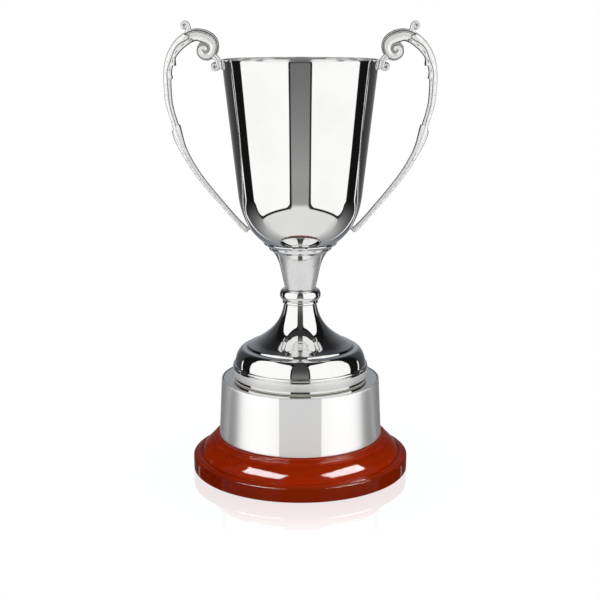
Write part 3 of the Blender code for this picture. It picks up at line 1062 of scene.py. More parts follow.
@dataclass
class Bowl:
    """Spun bowl: tapered wall, rounded lower part and a trimmed rim.

    Attributes:
        wall: Sheet thickness.
        taper: Gain of radius for each millimetre of height.
        setback: How far the top of the taper stands inside the node's radius.
        lip: Height of the trimmed face under the rim's top.
        lip_lean: How far that face leans in.
        lip_flat: Width of the flat on top of the rim.
        lip_run: Height of the stretch of wall that the trimmed face starts from.
        shoulder: Height above the bottom where the straight wall begins.
        seat: Radius and height above the bottom where the bowl meets the stem.
        seat_way: Direction of the wall where it leaves the seat.
        pulls: Strength of the rounded part's curve at the wall and at the seat.
    """

    wall: float = 1.0
    taper: float = 0.1135
    setback: float = 0.3
    lip: float = 0.95
    lip_lean: float = 0.2
    lip_flat: float = 1.0
    lip_run: float = 0.5
    shoulder: float = 35.7
    seat: tuple = (26.5, 2.8)
    seat_way: tuple = (0.8, 0.6)
    pulls: tuple = (27.0, 48.0)

    def outside(self) -> Array:
        """Outer face from the axis up to just under the rim.

        Returns:
            Points (radius, height), millimetres.
        """
        span = Span.of("bowl")
        straight = span.radius - self.setback
        wall_foot = (straight - (span.top - span.bottom - self.shoulder) * self.taper,
                     span.bottom + self.shoulder)
        seat = (self.seat[0], span.bottom + self.seat[1])
        drop = self.lip + self.lip_run
        lip_foot = (straight - drop * self.taper, span.top - drop)
        bottom = flow(span.up([(0.0, 0.0), (8.0, 0.05), (16.0, 0.25), (23.0, 1.25)])
                      + [seat], 26)
        low, high = self.pulls
        rounded_part = cubic(seat, wall_foot, np.multiply(self.seat_way, high),
                             (self.taper * low, low), 70)
        wall = line(wall_foot, lip_foot, 40)
        return join(bottom, rounded_part, wall)

    def outline(self) -> Array:
        """Closed wall section: outer face, trimmed rim, inner face back to the axis.

        Returns:
            Points (radius, height), millimetres.
        """
        span = Span.of("bowl")
        outer = self.outside()
        inner = offset(outer, self.wall)
        inner[0] = (0.0, inner[0][1])
        inner[:, 0] = np.maximum(inner[:, 0], 0.0)
        reach = outer[-1][0] + self.lip_run * self.taper
        edge = rounded([
            (*outer[-1], 0.0), (reach, span.top - self.lip, 0.08),
            (reach - self.lip_lean, span.top, 0.14),
            (reach - self.lip_lean - self.lip_flat, span.top, 0.2),
            (*inner[-1], 0.0)], 7)
        return join(outer, edge[1:-1], inner[::-1])

    def build(self) -> None:
        """Makes the bowl."""
        place("spun_bowl", turned(self.outline(), segments=320),
              MirrorNickel("bowl", haze=0.02, inner_haze=0.13),
              ("bowl",))


@dataclass
class Stem:
    """Flange, two stepped rings and a trumpet above the knop.

    Attributes:
        bore: Radius of the hole for the tie rod.
        socket: Radius of the recess for the bowl's boss.
        satin_drop: How far below the stem's top the satin face ends.
    """

    bore: float = 3.4
    socket: float = 7.4
    satin_drop: float = 6.0

    def outline(self) -> Array:
        """Closed section; heights are above the stem's lower end.

        Returns:
            Points (radius, height), millimetres.
        """
        span = Span.of("upper_stem")
        tall = span.top - span.bottom
        trumpet = flow(span.up([
            (10.95, 0.0), (11.4, 2.0), (12.5, 7.1), (13.75, 13.0), (15.25, 18.8),
            (17.1, 23.0), (19.3, 26.5)]), 60)
        rings = rounded(span.up([
            (19.3, 26.5, 0.0), (19.9, 27.1, 0.5), (21.9, 28.3, 0.5), (22.3, 29.3, 0.5),
            (22.5, 30.4, 0.3), (24.6, 31.4, 0.6), (26.0, 32.4, 0.5),
            (26.1, tall, 0.0)]), 9)
        inside = rounded(span.up([
            (22.9, 31.7, 0.0), (16.0, 30.9, 0.0), (self.socket, 30.7, 0.0),
            (self.socket, 24.1, 0.0), (self.bore, 24.1, 0.0), (self.bore, 20.4, 0.0),
            (10.0, 20.4, 0.3), (9.0, 0.0, 0.0)]), 4)
        return densify(join(trumpet, rings, inside), 1.2, closed=True)

    def build(self) -> None:
        """Makes the stem."""
        finish = MirrorNickel("stem", tone=(0.84, 0.84, 0.84), haze=0.035, satin=0.26,
                              satin_matt=0.3, satin_top=(
                                  Span.of("upper_stem").top - self.satin_drop) * MM)
        place("trumpet_stem", turned(self.outline(), segments=224, closed=True),
              finish, ("upper_stem",))


@dataclass
class Knop:
    """Turned ball knop with a small lip under it.

    Attributes:
        bore: Radius of the hole for the tie rod.
    """

    bore: float = 3.4

    def outline(self) -> Array:
        """Closed section; heights are above the knop's lower end.

        Returns:
            Points (radius, height), millimetres.
        """
        span = Span.of("knop")
        tall = span.top - span.bottom
        ball = flow(span.up([
            (12.1, 1.75), (12.9, 2.3), (14.0, 3.6), (14.6, 5.6), (14.4, 7.6),
            (13.6, 9.2), (12.3, tall - 0.05)]), 48)
        lip = rounded(span.up([
            (12.0, 0.0, 0.0), (12.7, 0.05, 0.45), (12.75, 1.35, 0.5),
            (12.1, 1.75, 0.0)]), 9)
        hole = np.array(span.up([(self.bore, tall), (self.bore, 0.0)]))
        return densify(join(lip, ball, hole), 1.2, closed=True)

    def build(self) -> None:
        """Makes the knop."""
        place("ball_knop", turned(self.outline(), segments=192, closed=True),
              MirrorNickel("knop", haze=0.03), ("knop",))


@dataclass
class Foot:
    """Spun foot: trumpet, crease, convex step, bead and upright collar.

    Attributes:
        bore: Radius of the hole for the tie rod.
        wall: Sheet thickness.
        satin_zone: Heights above the collar's edge between which its face is satin.
    """

    bore: float = 3.4
    wall: float = 1.2
    satin_zone: tuple = (1.3, 7.5)

    def outside(self) -> Array:
        """Outer face from the bore out and down to the collar's edge.

        Returns:
            Points (radius, height), millimetres.
        """
        span = Span.of("foot")
        tall = span.top - span.bottom
        top = line((self.bore, span.top), (11.4, span.top), 8)
        trumpet = flow(span.up([
            (11.6, tall - 0.15), (12.2, 50.7), (13.1, 47.5), (14.5, 43.8), (16.6, 40.1),
            (19.4, 36.5), (23.6, 32.5), (28.8, 28.7), (33.6, 25.7), (36.9, 24.2)]), 90)
        crease = rounded(span.up([
            (36.9, 24.2, 0.0), (37.9, 23.85, 0.9), (38.7, 22.35, 0.35),
            (39.6, 22.1, 0.0)]), 9)
        step = flow(span.up([
            (39.6, 22.1), (42.1, 21.35), (44.7, 18.5), (46.3, 14.8), (47.0, 11.4),
            (47.05, 10.7)]), 60)
        bead = rounded(span.up([
            (47.05, 10.7, 0.0), (47.1, 10.3, 0.2), (48.1, 10.2, 0.5),
            (48.55, 9.2, 0.6), (48.1, 8.0, 0.5), (47.7, 7.6, 0.15),
            (span.radius - 0.15, 7.5, 0.3), (span.radius - 0.1, 7.0, 0.0),
            (span.radius - 0.9, 0.0, 0.0)]), 8)
        return join(top, trumpet, crease, step, bead)

    def outline(self) -> Array:
        """Closed wall section; the inner face follows the outer one more simply.

        Returns:
            Points (radius, height), millimetres.
        """
        span = Span.of("foot")
        key = np.array(span.up([
            (12.2, 50.7), (14.5, 43.8), (19.4, 36.5), (28.8, 28.7), (38.0, 23.0),
            (44.0, 17.5), (46.4, 11.0), (47.8, 7.4), (48.0, 0.0)]))
        inner = offset(key, -self.wall)
        inner[-1] = (key[-1][0] - self.wall, span.bottom)
        closing = np.array([[inner[0][0], span.top - self.wall],
                            [self.bore, span.top - self.wall]])
        return densify(join(self.outside(), inner[::-1], closing), 1.5, closed=True)

    def build(self) -> None:
        """Makes the foot."""
        bottom, top = (Span.of("foot").bottom + rise for rise in self.satin_zone)
        finish = MirrorNickel("foot", haze=0.03, satin=0.33, satin_matt=0.62,
                              satin_bottom=bottom * MM, satin_top=top * MM,
                              satin_fade=0.0004)
        place("spun_foot", turned(self.outline(), segments=288, closed=True),
              finish, ("foot",))


# ---------------------------------------------------------------- plinth


@dataclass
class Plinth:
    """Turned hardwood plinth with its metal sleeve, top plate, gasket and felt.

    Attributes:
        bore: Radius of the hole for the tie rod.
        recess: Radius and depth of the counterbore underneath.
        band_wall: Thickness of the sleeve.
        band_radii: Outer radius of the sleeve at its top and bottom.
        seam: Width of the sleeve's seam.
        panel_half_width: Half the width of the blank panel, millimetres.
        edge_top: Height of the top of the wood's upright edge, millimetres.
        gasket_inner: Radius of the hole in the gasket.
    """

    bore: float = 3.4
    recess: tuple = (16.0, 12.5)
    band_wall: float = 0.9
    band_radii: tuple = (56.9, 58.9)
    seam: float = 0.5
    panel_half_width: float = 14.5
    edge_top: float = 11.2
    gasket_inner: float = 40.0

    def wood(self) -> Array:
        """Closed section of the plinth; heights are above its lower face.

        Returns:
            Points (radius, height), millimetres.
        """
        span = Span.of("plinth")
        band = Span.of("plinth_band")
        tall = span.top - span.bottom
        ledge = band.bottom - span.bottom - CLEARANCE
        inset = self.band_wall + CLEARANCE
        drum = [(self.bore, tall, 0.0), (self.band_radii[0] - inset, tall, 0.4),
                (self.band_radii[1] - inset, ledge, 0.0)]
        reeds = [
            (60.3, ledge, 0.3), (61.25, ledge - 0.05, 0.5), (61.3, ledge - 0.9, 0.0),
            (62.3, ledge - 0.95, 0.5), (62.35, ledge - 1.85, 0.0),
            (63.4, ledge - 1.9, 0.55), (63.5, ledge - 2.9, 0.0),
            (63.9, ledge - 3.1, 0.0)]
        ovolo = flow(span.up([
            (63.9, 21.5), (65.7, 20.3), (68.2, 17.9), (70.1, 15.3), (71.3, 12.7),
            (71.6, 11.8)]), 40)
        edge = [
            (71.6, 11.8, 0.0), (71.7, 11.0, 0.2), (72.6, 10.9, 0.2), (72.7, 11.5, 0.25),
            (74.9, 11.35, 0.6), (75.6, 10.6, 0.2), (76.2, 10.55, 0.2),
            (span.radius, 10.2, 0.9), (span.radius, 0.4, 0.4),
            (span.radius - 0.8, 0.0, 0.0)]
        hole = [(self.recess[0], 0.0, 0.0), (self.recess[0], self.recess[1], 0.0),
                (self.bore, self.recess[1], 0.0)]
        upper = rounded(span.up(drum + reeds), 7)
        lower = rounded(span.up(edge + hole), 7)
        return densify(join(upper, ovolo, lower), 1.6, closed=True)

    def sleeve(self) -> Shell:
        """Band carried round the drum from one side of its seam to the other.

        The section is a thin bar with rounded top and bottom edges; its points are
        carried along angles that stop half the seam's width short of +Y on each side.

        Returns:
            Closed shell in metres.
        """
        span = Span.of("plinth_band")
        top, bottom = self.band_radii
        section = densify(rounded([
            (bottom - self.band_wall, span.bottom, 0.2), (bottom, span.bottom, 0.3),
            (top, span.top, 0.35), (top - self.band_wall, span.top, 0.2)],
            4, closed=True), 1.6, closed=True)
        gap = self.seam / 2 / bottom
        angle = np.linspace(math.pi / 2 + gap, 2.5 * math.pi - gap, 300)
        points = np.stack([
            section[None, :, 0] * np.cos(angle)[:, None],
            section[None, :, 0] * np.sin(angle)[:, None],
            np.broadcast_to(section[None, :, 1], (len(angle), len(section)))], axis=-1)
        layout = np.stack(np.broadcast_arrays(
            angle[:, None], section[None, :, 1] * MM), axis=-1)
        return grid_shell(points * MM, False, layout=layout)

    def washer(self, node: str, inner: float) -> Array:
        """Flat ring that fills a node's box, with slightly eased edges.

        Args:
            node: Name of the node.
            inner: Radius of the hole.

        Returns:
            Closed outline.
        """
        span = Span.of(node)
        return densify(rounded([
            (inner, span.bottom, 0.1), (span.radius, span.bottom, 0.2),
            (span.radius, span.top, 0.2), (inner, span.top, 0.1)], 4, closed=True),
            2.5, closed=True)

    def build(self) -> None:
        """Makes the wood, sleeve, top plate, gasket and felt."""
        place("turned_plinth", turned(self.wood(), segments=288, closed=True),
              LacqueredRosewood(self.edge_top * MM), ("plinth",))
        place("metal_band", self.sleeve(), BrushedBand(self.panel_half_width * MM),
              ("plinth_band",))
        place("top_plate", turned(self.washer("plinth_top_plate", self.bore),
                                  segments=224, closed=True),
              MirrorNickel("plate", haze=0.02),
              ("plinth_top_plate",))
        place("card_gasket", turned(self.washer("foot_gasket", self.gasket_inner),
                                    segments=192, closed=True),
              PressedBoard("card", (0.86, 0.84, 0.77), (0.74, 0.71, 0.62)),
              ("foot_gasket",))
        span = Span.of("base_felt")
        outline = densify(rounded([
            (0.0, span.bottom, 0.0), (span.radius, span.bottom, 0.35),
            (span.radius, span.top, 0.2), (0.0, span.top, 0.0)], 5), 4.0)
        place("felt_pad", turned(outline, segments=160), Felt(),
              ("base_felt",))


# ---------------------------------------------------------------- handles


class Side(Enum):
    """Which side of the cup a handle stands on."""

    RIGHT = "right"
    LEFT = "left"


def strap(path: Array, halves: Array, squareness: float, per_face: int,
          carve: Callable = None) -> Shell:
    """Profile carried along a path in the X-Z plane.

    The profile at each path point is |q|^n + |e|^n = 1, with q across the strap (from
    -1 inside to +1 outside) and e its depth; q is spread as 1.5t - 0.5t^3 so that the
    edges get more points. The point is path + normal * (q * half width) + y * (e * half
    depth), and carve adds its own widening, thickening and relief.

    Args:
        path: Points (x, z), millimetres.
        halves: Inner half width, outer half width and half depth at each path point.
        squareness: The exponent n.
        per_face: Points on the front and on the back.
        carve: Function of distance, q and e giving added depth, added width and relief.

    Returns:
        Closed shell in metres.
    """
    run = unit(np.gradient(path, axis=0))
    normal = np.stack([-run[:, 1], run[:, 0]], axis=1)
    distance = distance_along(path)[:, None]
    t = np.linspace(-1.0, 1.0, per_face + 1)
    face = 1.5 * t - 0.5 * t**3
    depth = (1 - np.abs(face) ** squareness) ** (1 / squareness)
    q = np.concatenate([face[:-1], face[::-1][:-1]])[None, :]
    e = np.concatenate([-depth[:-1], depth[::-1][:-1]])[None, :]
    shape = (len(path), q.shape[1])
    deeper = wider = np.zeros(shape)
    relief = np.full(shape, 0.7)
    if carve:
        deeper, wider, relief = (np.broadcast_to(part, shape)
                                 for part in carve(distance, q, e))
    reach = q * np.where(q > 0, halves[:, 1:2], halves[:, 0:1]) + wider
    out = e * halves[:, 2:3] + np.sign(e) * deeper
    points = np.stack([path[:, 0:1] + normal[:, 0:1] * reach, out,
                       path[:, 1:2] + normal[:, 1:2] * reach], axis=-1)
    return grid_shell(points * MM, False, values={"relief": relief})


@dataclass
class Handle:
    """Cast scroll handle: volute, leaf-wrapped arch and long beaded tail.

    The strap is one path from the eye of the volute, round its turns, over the arch and
    down to the bowl. A small scroll stands on the arch, another hangs under the volute,
    and a pad lies against the bowl's wall.

    Attributes:
        eye: Centre of the volute, (x, z).
        turns: Angle in degrees back along the volute, radius of the centre line, half
            width and half depth there.
        arch: Centre-line stations after the volute: x, z, inner and outer half width,
            half depth.
        rows: Path points on the volute and on the rest.
        landmarks: Heights on the outer limb where the zones of the relief begin.
        relief_heights: Height of the relief in each zone.
        barbs: Height of the tip, length and reach of each barb of the sheath.
        finial_x: Distance of the finial's eye from the cup's axis.
        finial_drop: How far the finial's eye is below the top of the handle.
        scroll_eye: Centre of the scroll under the volute, (x, z).
        pad_size: Half width and half height of the pad.
        pad_height: Height of the pad's centre.
        pad_thickness: Thickness of the pad's edge, and how much more its crown has.
        pad_gap: How far its back stands outside the bowl's tapered wall.
    """

    eye: tuple = (65.1, 300.7)
    turns: tuple = (
        (470.0, 0.75, 0.62, 3.5), (360.0, 1.78, 1.5, 3.75), (270.0, 3.57, 2.35, 3.95),
        (180.0, 4.73, 2.66, 4.05), (90.0, 5.83, 3.3, 4.1), (30.0, 7.55, 4.2, 4.1))
    arch: tuple = (
        (65.9, 309.6, 4.5, 4.5, 4.1), (71.2, 310.7, 4.3, 4.2, 4.1),
        (76.3, 309.1, 4.2, 4.2, 4.1), (81.5, 305.5, 4.1, 4.1, 4.0),
        (85.3, 301.4, 3.7, 3.8, 3.9), (88.2, 297.0, 3.3, 3.4, 3.8),
        (90.1, 291.5, 3.0, 3.3, 3.6), (91.3, 285.0, 2.9, 3.1, 3.5),
        (91.6, 279.0, 2.7, 2.9, 3.3), (91.4, 273.3, 2.6, 2.8, 3.2),
        (90.8, 265.1, 2.5, 2.7, 3.0), (89.1, 257.5, 2.3, 2.4, 2.9),
        (87.1, 250.6, 2.3, 2.3, 2.9), (85.4, 243.5, 2.4, 2.4, 2.9),
        (82.9, 235.6, 2.4, 2.4, 2.9), (78.5, 226.4, 2.3, 2.3, 2.8),
        (71.7, 215.2, 2.1, 2.1, 2.7), (63.0, 203.9, 1.9, 1.9, 2.7),
        (53.4, 192.5, 1.8, 1.8, 2.8), (44.6, 182.2, 1.8, 1.7, 3.1),
        (40.6, 177.7, 2.1, 1.7, 3.2), (38.7, 175.7, 2.0, 1.6, 2.9),
        (37.7, 174.7, 1.3, 1.1, 2.1), (37.2, 174.2, 0.5, 0.4, 0.9))
    rows: tuple = (210, 550)
    landmarks: tuple = (("crest", 309.5), ("leaf", 306.0), ("cord", 279.5),
                        ("collar", 248.8), ("tail", 230.0), ("end", 176.0))
    relief_heights: tuple = (0.36, 0.30, 0.24, 0.24, 0.22)
    barbs: tuple = ((291.0, 7.5, 1.9), (281.3, 5.5, 1.0))
    finial_x: float = 79.1
    finial_drop: float = 3.3
    scroll_eye: tuple = (58.7, 289.5)
    pad_size: tuple = (4.2, 3.5)
    pad_height: float = 290.6
    pad_thickness: tuple = (0.35, 1.15)
    pad_gap: float = 0.07

    def path(self) -> tuple:
        """Centre line and half widths from the eye to the tail.

        On the volute the point is eye + radius * (-sin a, cos a), where a is the angle
        back from the top towards the bowl.

        Returns:
            Path points (n, 2) and half widths and depth (n, 3).
        """
        turns = flow(self.turns, self.rows[0])
        angle = np.radians(turns[:, 0])
        volute = np.stack([
            self.eye[0] - turns[:, 1] * np.sin(angle),
            self.eye[1] + turns[:, 1] * np.cos(angle),
            turns[:, 2], turns[:, 2], turns[:, 3]], axis=1)
        keys = np.vstack([volute[-12:-1:4], np.array(self.arch)])
        rest = flow(keys, self.rows[1])
        start = int(np.argmin(np.linalg.norm(rest[:, :2] - volute[-1, :2], axis=1)))
        both = np.vstack([volute[:-1], rest[start + 1:]])
        return both[:, :2], both[:, 2:]

    def distance_at(self, height: float) -> float:
        """Distance along the path where the outer limb passes a height.

        Args:
            height: Height on the limb, millimetres.

        Returns:
            The distance, millimetres.
        """
        path = self.path()[0]
        crest = int(np.argmax(path[:, 1]))
        return float(np.interp(-height, -path[crest:, 1], distance_along(path)[crest:]))

    def carve(self, s: Array, q: Array, e: Array) -> tuple:
        """Relief of the casting as a function of distance, q and e.

        The strap has five zones, each eased into the next: the scroll of volute and
        arch, a leaf sheath, a cord twist, a leaf collar and the tail.

        Args:
            s: Distance along the path, millimetres.
            q: Place across the strap, -1 inside to +1 outside.
            e: Place through the depth.

        Returns:
            Added depth, added width and relief value; the relief value also holds a
            painted shade notch at the leaf's root.
        """
        marks = {name: self.distance_at(height) for name, height in self.landmarks}
        slant = s - 1.2 * q + 0.7 * np.sin(8.0 * q)
        lip = s - 1.6 * q
        to_sheath = smoothstep(marks["crest"] + 0.8, marks["crest"] + 1.4, slant)
        to_cord = smoothstep(marks["cord"] - 1.5, marks["cord"] + 1.5, s)
        to_collar = smoothstep(marks["collar"] - 0.3, marks["collar"] + 0.3, lip)
        to_tail = smoothstep(marks["tail"] - 5.0, marks["tail"] + 2.0, s)
        shares = (1 - to_sheath, to_sheath * (1 - to_cord), to_cord * (1 - to_collar),
                  to_collar * (1 - to_tail), to_tail)
        relief = np.clip(sum(share * pattern for share, pattern
                             in zip(shares, self.patterns(s, q, lip, marks))), 0.0, 1.0)
        tall = sum(share * height for share, height
                   in zip(shares, self.relief_heights))
        deeper = (relief - 0.75) * tall * smoothstep(0.0, 0.45, np.abs(e))
        # Painted shade: a dark notch at the leaf's root, applied to the relief value after
        # the depth is set, so only the colour changes.
        painted_notch_shade = bump(slant, marks["crest"] + 0.6, 0.55)
        relief = relief * (1 - 0.6 * painted_notch_shade)
        return deeper, self.widening(s, q, to_tail, marks), relief

    @staticmethod
    def beads(s: Array, tail: float) -> Array:
        """Height of the oval beads on the tail, 0 between two and 1 on one."""
        return np.abs(np.sin(math.pi * (s - tail) / 5.3)) ** 0.5

    @staticmethod
    def cuts(s: Array) -> Array:
        """Cross cuts on the tail, 1 in a cut and 0 between two."""
        return creases(s / 1.6, 0.25)

    def patterns(self, s: Array, q: Array, lip: Array, marks: dict) -> tuple:
        """Relief pattern of each zone as if it covered the whole strap.

        Scroll: two raised rims by the outer edge and one by the inner edge round a
        sunk, stippled ground. Sheath: leaf veins that sway along the strap. Cord: a
        groove and slanting strands. Collar: slanting veins behind a lip, with a painted
        shadow just before the lip. Tail: cross cuts on the inner half and oval beads on
        the outer half. Each zone also darkens the strap's inner and outer edges as
        painted shade.

        Args:
            s: Distance along the path, millimetres.
            q: Place across the strap.
            lip: Distance along the path, slanted as the collar's lip is.
            marks: Distance of each landmark.

        Returns:
            The five patterns.
        """
        # Painted shade: these masks darken the strap's inner and outer edges, the inner
        # more, where the surface turns away from the light.
        outer_edge_shade = smoothstep(0.84, 0.97, q)
        inner_edge_shade = smoothstep(-0.80, -0.95, q)
        stipple = np.sin(s * 5.2 + 2.0 * np.sin(q * 9.0)) * np.sin(
            q * 17.0 + 1.3 * np.sin(s * 3.1))
        # Painted shade: the last two terms darken the scroll's outer and inner edges.
        scroll = (0.80 + 0.05 * stipple + 0.2 * bump(q, 0.86, 0.07)
                  - 0.90 * bump(q, 0.70, 0.10) + 0.2 * bump(q, 0.58, 0.06)
                  - 0.50 * bump(q, 0.46, 0.07) - 0.95 * smoothstep(0.87, 0.96, q)
                  - 0.85 * smoothstep(-0.76, -0.92, q))
        run = s - marks["leaf"]
        sway = 0.14 * np.sin(0.33 * run)
        broken = 0.5 + 0.5 * np.cos(0.9 * run + 2.0 * q)
        sheath = (1.0 - 0.85 * bump(q, -0.10 + sway, 0.10)
                  - 0.75 * bump(q, -0.48 + 0.6 * sway, 0.10) * broken
                  - 0.45 * bump(q, 0.40 + sway, 0.08) * (1 - broken)
                  - 0.95 * inner_edge_shade - 0.55 * outer_edge_shade)
        cord = (1.0 - 0.90 * bump(q, -0.16, 0.12)
                - 0.35 * bump(q, 0.46, 0.10) * creases(s / 3.6, 0.3)
                - 0.25 * creases(s / 2.6 + 0.6 * q, 0.18) * (q > 0.1)
                - 0.95 * inner_edge_shade
                - outer_edge_shade * (0.35 + 0.45 * creases(s / 3.1, 0.3)))
        # The bump on lip is partly a real groove before the collar's lip and partly a
        # painted shadow of its step.
        collar = (1.0 - 0.45 * creases(1.1 * q + 0.035 * (s - marks["collar"]), 0.10)
                  - 0.9 * bump(lip, marks["collar"] - 0.5, 0.45) - 0.75 * inner_edge_shade
                  - 0.75 * outer_edge_shade)
        beads = self.beads(s, marks["tail"])
        tail = (np.where(q < 0, 0.84 - 0.16 * self.cuts(s),
                         0.50 + 0.50 * beads * bump(q, 0.46, 0.50))
                - 0.10 * bump(q, 0.0, 0.10) - 0.32 * inner_edge_shade
                - 0.20 * outer_edge_shade * (1 - beads))
        return scroll, sheath, cord, collar, tail

    def widening(self, s: Array, q: Array, to_tail: Array, marks: dict) -> Array:
        """Width added by the barbs, by the collar's step and by the tail's beads.

        Args:
            s: Distance along the path, millimetres.
            q: Place across the strap.
            to_tail: 1 on the tail and 0 above it.
            marks: Distance of each landmark.

        Returns:
            Added width, negative where the inner edge moves inward.
        """
        collar, tail = marks["collar"], marks["tail"]
        barbs = np.zeros_like(s)
        for height, run, reach in self.barbs:
            tip = self.distance_at(height)
            barbs = barbs + reach * smoothstep(tip - run, tip, s) ** 1.5 * (
                1 - smoothstep(tip, tip + 0.7, s))
        step_in = smoothstep(collar - 0.35, collar + 0.35, s) * (
            1 - smoothstep(collar, tail + 4.0, s))
        step_out = smoothstep(collar + 2.6, collar + 3.2, s) * (
            1 - smoothstep(collar + 3.0, tail + 4.0, s))
        on_outer = 1.25 * step_out + 0.22 * to_tail * (self.beads(s, tail) - 0.6)
        on_inner = barbs + 1.15 * step_in - 0.10 * to_tail * (self.cuts(s) - 0.5)
        wider = (np.clip(q, 0.0, 1.0) ** 3 * on_outer
                 - np.clip(-q, 0.0, 1.0) ** 3 * on_inner)
        return wider * (1 - smoothstep(marks["end"] + 2.0, marks["end"] + 6.0, s))

    def curl(self, keys: list, count: int) -> Shell:
        """Small scroll with raised edges.

        Args:
            keys: Stations (x, z, half width, half depth).
            count: Number of path points.

        Returns:
            Closed shell in metres.
        """
        run = flow(keys, count)
        halves = run[:, [2, 2, 3]]

        def rim(s: Array, q: Array, e: Array) -> tuple:
            """Raised edges along both sides of the strip, a sunk middle, and painted shade
            on the strip's two outermost edges.

            Args:
                s: Distance along the strip, which this relief doesn't depend on.
                q: Place across the strip.
                e: Place through the depth.

            Returns:
                Added depth, added width and relief value.
            """
            ridge = np.maximum(bump(q, 0.72, 0.26), 0.8 * bump(q, -0.78, 0.22))
            # Painted shade: the two smoothstep terms darken the strip's outer and inner
            # edges.
            relief = (0.70 + 0.30 * ridge - 0.9 * smoothstep(0.78, 0.93, q)
                      - 0.5 * smoothstep(-0.85, -0.97, q))
            return ((relief - 0.8) * 0.45 * smoothstep(0.0, 0.5, np.abs(e)), 0.0,
                    relief)

        return strap(run[:, :2], halves, 2.6, 14, rim)

    @staticmethod
    def spiral(centre: tuple, start: float, sweep: float, radii: tuple,
               halves: tuple, depths: tuple, count: int = 24) -> list:
        """Stations on centre + radius * (sin a, cos a), from start through a sweep.

        Args:
            centre: Middle of the spiral, (x, z).
            start: First angle from straight up towards +X, degrees.
            sweep: Degrees turned, negative for anticlockwise.
            radii: Radius at the start and at the end.
            halves: Half width at the start and at the end.
            depths: Half depth at the start and at the end.
            count: Number of stations.

        Returns:
            List of (x, z, half width, half depth).
        """
        share = np.linspace(0.0, 1.0, count)
        angle = np.radians(start + sweep * share)
        radius = radii[0] + (radii[1] - radii[0]) * share**1.4
        return list(zip(
            centre[0] + radius * np.sin(angle), centre[1] + radius * np.cos(angle),
            halves[0] + (halves[1] - halves[0]) * share,
            depths[0] + (depths[1] - depths[0]) * share))

    def finial_eye(self) -> tuple:
        """Centre of the scroll on the arch, (x, z)."""
        return (self.finial_x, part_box("right_handle")[1].z / MM - self.finial_drop)

    def finial(self) -> Shell:
        """Scroll on the arch: up its bowl side, over the top and in to its eye.

        Returns:
            Closed shell in metres.
        """
        root = [(77.3, 309.3, 3.4, 2.9), (76.7, 312.0, 2.6, 2.8),
                (76.3, 314.4, 1.7, 2.7)]
        coil = self.spiral(self.finial_eye(), -84.0, 405.0, (2.55, 0.4), (1.25, 0.55),
                           (2.7, 2.2))
        return self.curl(root + coil, 190)

    def lower_scroll(self) -> Shell:
        """Scroll under the volute: down by the bowl, round and up to its eye.

        Returns:
            Closed shell in metres.
        """
        root = [(60.2, 297.0, 2.2, 3.3), (57.2, 294.3, 1.9, 3.3)]
        coil = self.spiral(self.scroll_eye, -52.0, -425.0, (2.65, 0.4), (1.45, 0.6),
                           (3.2, 2.4))
        return self.curl(root + coil, 200)

    def neck(self) -> Shell:
        """Short bar that joins the volute to the pad.

        Returns:
            Closed shell in metres.
        """
        keys = [(59.8, 295.9, 1.5, 2.8), (57.2, 294.9, 1.3, 2.7),
                (55.1, 293.2, 1.3, 2.6)]
        return self.curl(keys, 40)

    @staticmethod
    def button(centre: tuple, radius: float, depth: float, squareness: float,
               tone: float) -> Shell:
        """Round boss on the strap's mid-plane.

        With r from 0 to 1 and a round the boss, the point is centre + radius * r *
        (cos a, sin a) at half depth (1 - r^n)^(1/n) to the front and to the back.

        Args:
            centre: Middle of the boss, (x, z).
            radius: Radius of the boss.
            depth: Half depth at the middle.
            squareness: The exponent n.
            tone: Relief value of the boss.

        Returns:
            Closed shell in metres.
        """
        r = np.sin(np.linspace(0.04, math.pi - 0.04, 24))[:, None]
        side = np.where(np.arange(24) < 12, -1.0, 1.0)[:, None]
        a = np.linspace(0.0, 2 * math.pi, 40, endpoint=False)[None, :]
        out = side * depth * (1 - r**squareness) ** (1 / squareness)
        points = np.stack(np.broadcast_arrays(
            centre[0] + radius * r * np.cos(a), out,
            centre[1] + radius * r * np.sin(a)), axis=-1)
        return grid_shell(points * MM, False,
                          values={"relief": np.full(points.shape[:2], tone)})

    def pad(self) -> Shell:
        """Flattened pad that follows the bowl's wall.

        The pad is a disc in the wall's own directions: across y and along the wall,
        with thickness edge + crown * sqrt(1 - r^2.6), bent round the bowl's radius.

        Returns:
            Closed shell in metres.
        """
        bowl = Span.of("bowl")
        r = np.linspace(0.0, 1.0, 22)[:, None]
        a = np.linspace(0.0, 2 * math.pi, 72, endpoint=False)[None, :]
        half_width, half_height = self.pad_size
        edge, crown = self.pad_thickness
        thick = edge + crown * np.sqrt(np.clip(1 - r**2.6, 0.0, 1.0))
        height = self.pad_height + r * half_height * np.sin(a)
        wall = bowl.radius + self.pad_gap - (bowl.top - height) * Bowl().taper
        turn = r * half_width * np.cos(a) / wall
        relief = np.broadcast_to(0.75 + 0.25 * bump(r, 0.8, 0.2), turn.shape)

        def layer(radius: Array) -> Array:
            """Points at a distance from the cup's axis."""
            return np.stack([radius * np.cos(turn), radius * np.sin(turn), height], -1)

        points = np.concatenate([layer(wall + thick)[1:], layer(wall)[::-1][:-1]])
        # Painted shade: the back layer, against the bowl, carries 0.6 of the relief value
        # and so reads darker.
        values = {"relief": np.concatenate([relief[1:], relief[::-1][:-1] * 0.6])}
        return grid_shell(points * MM, False, values=values)

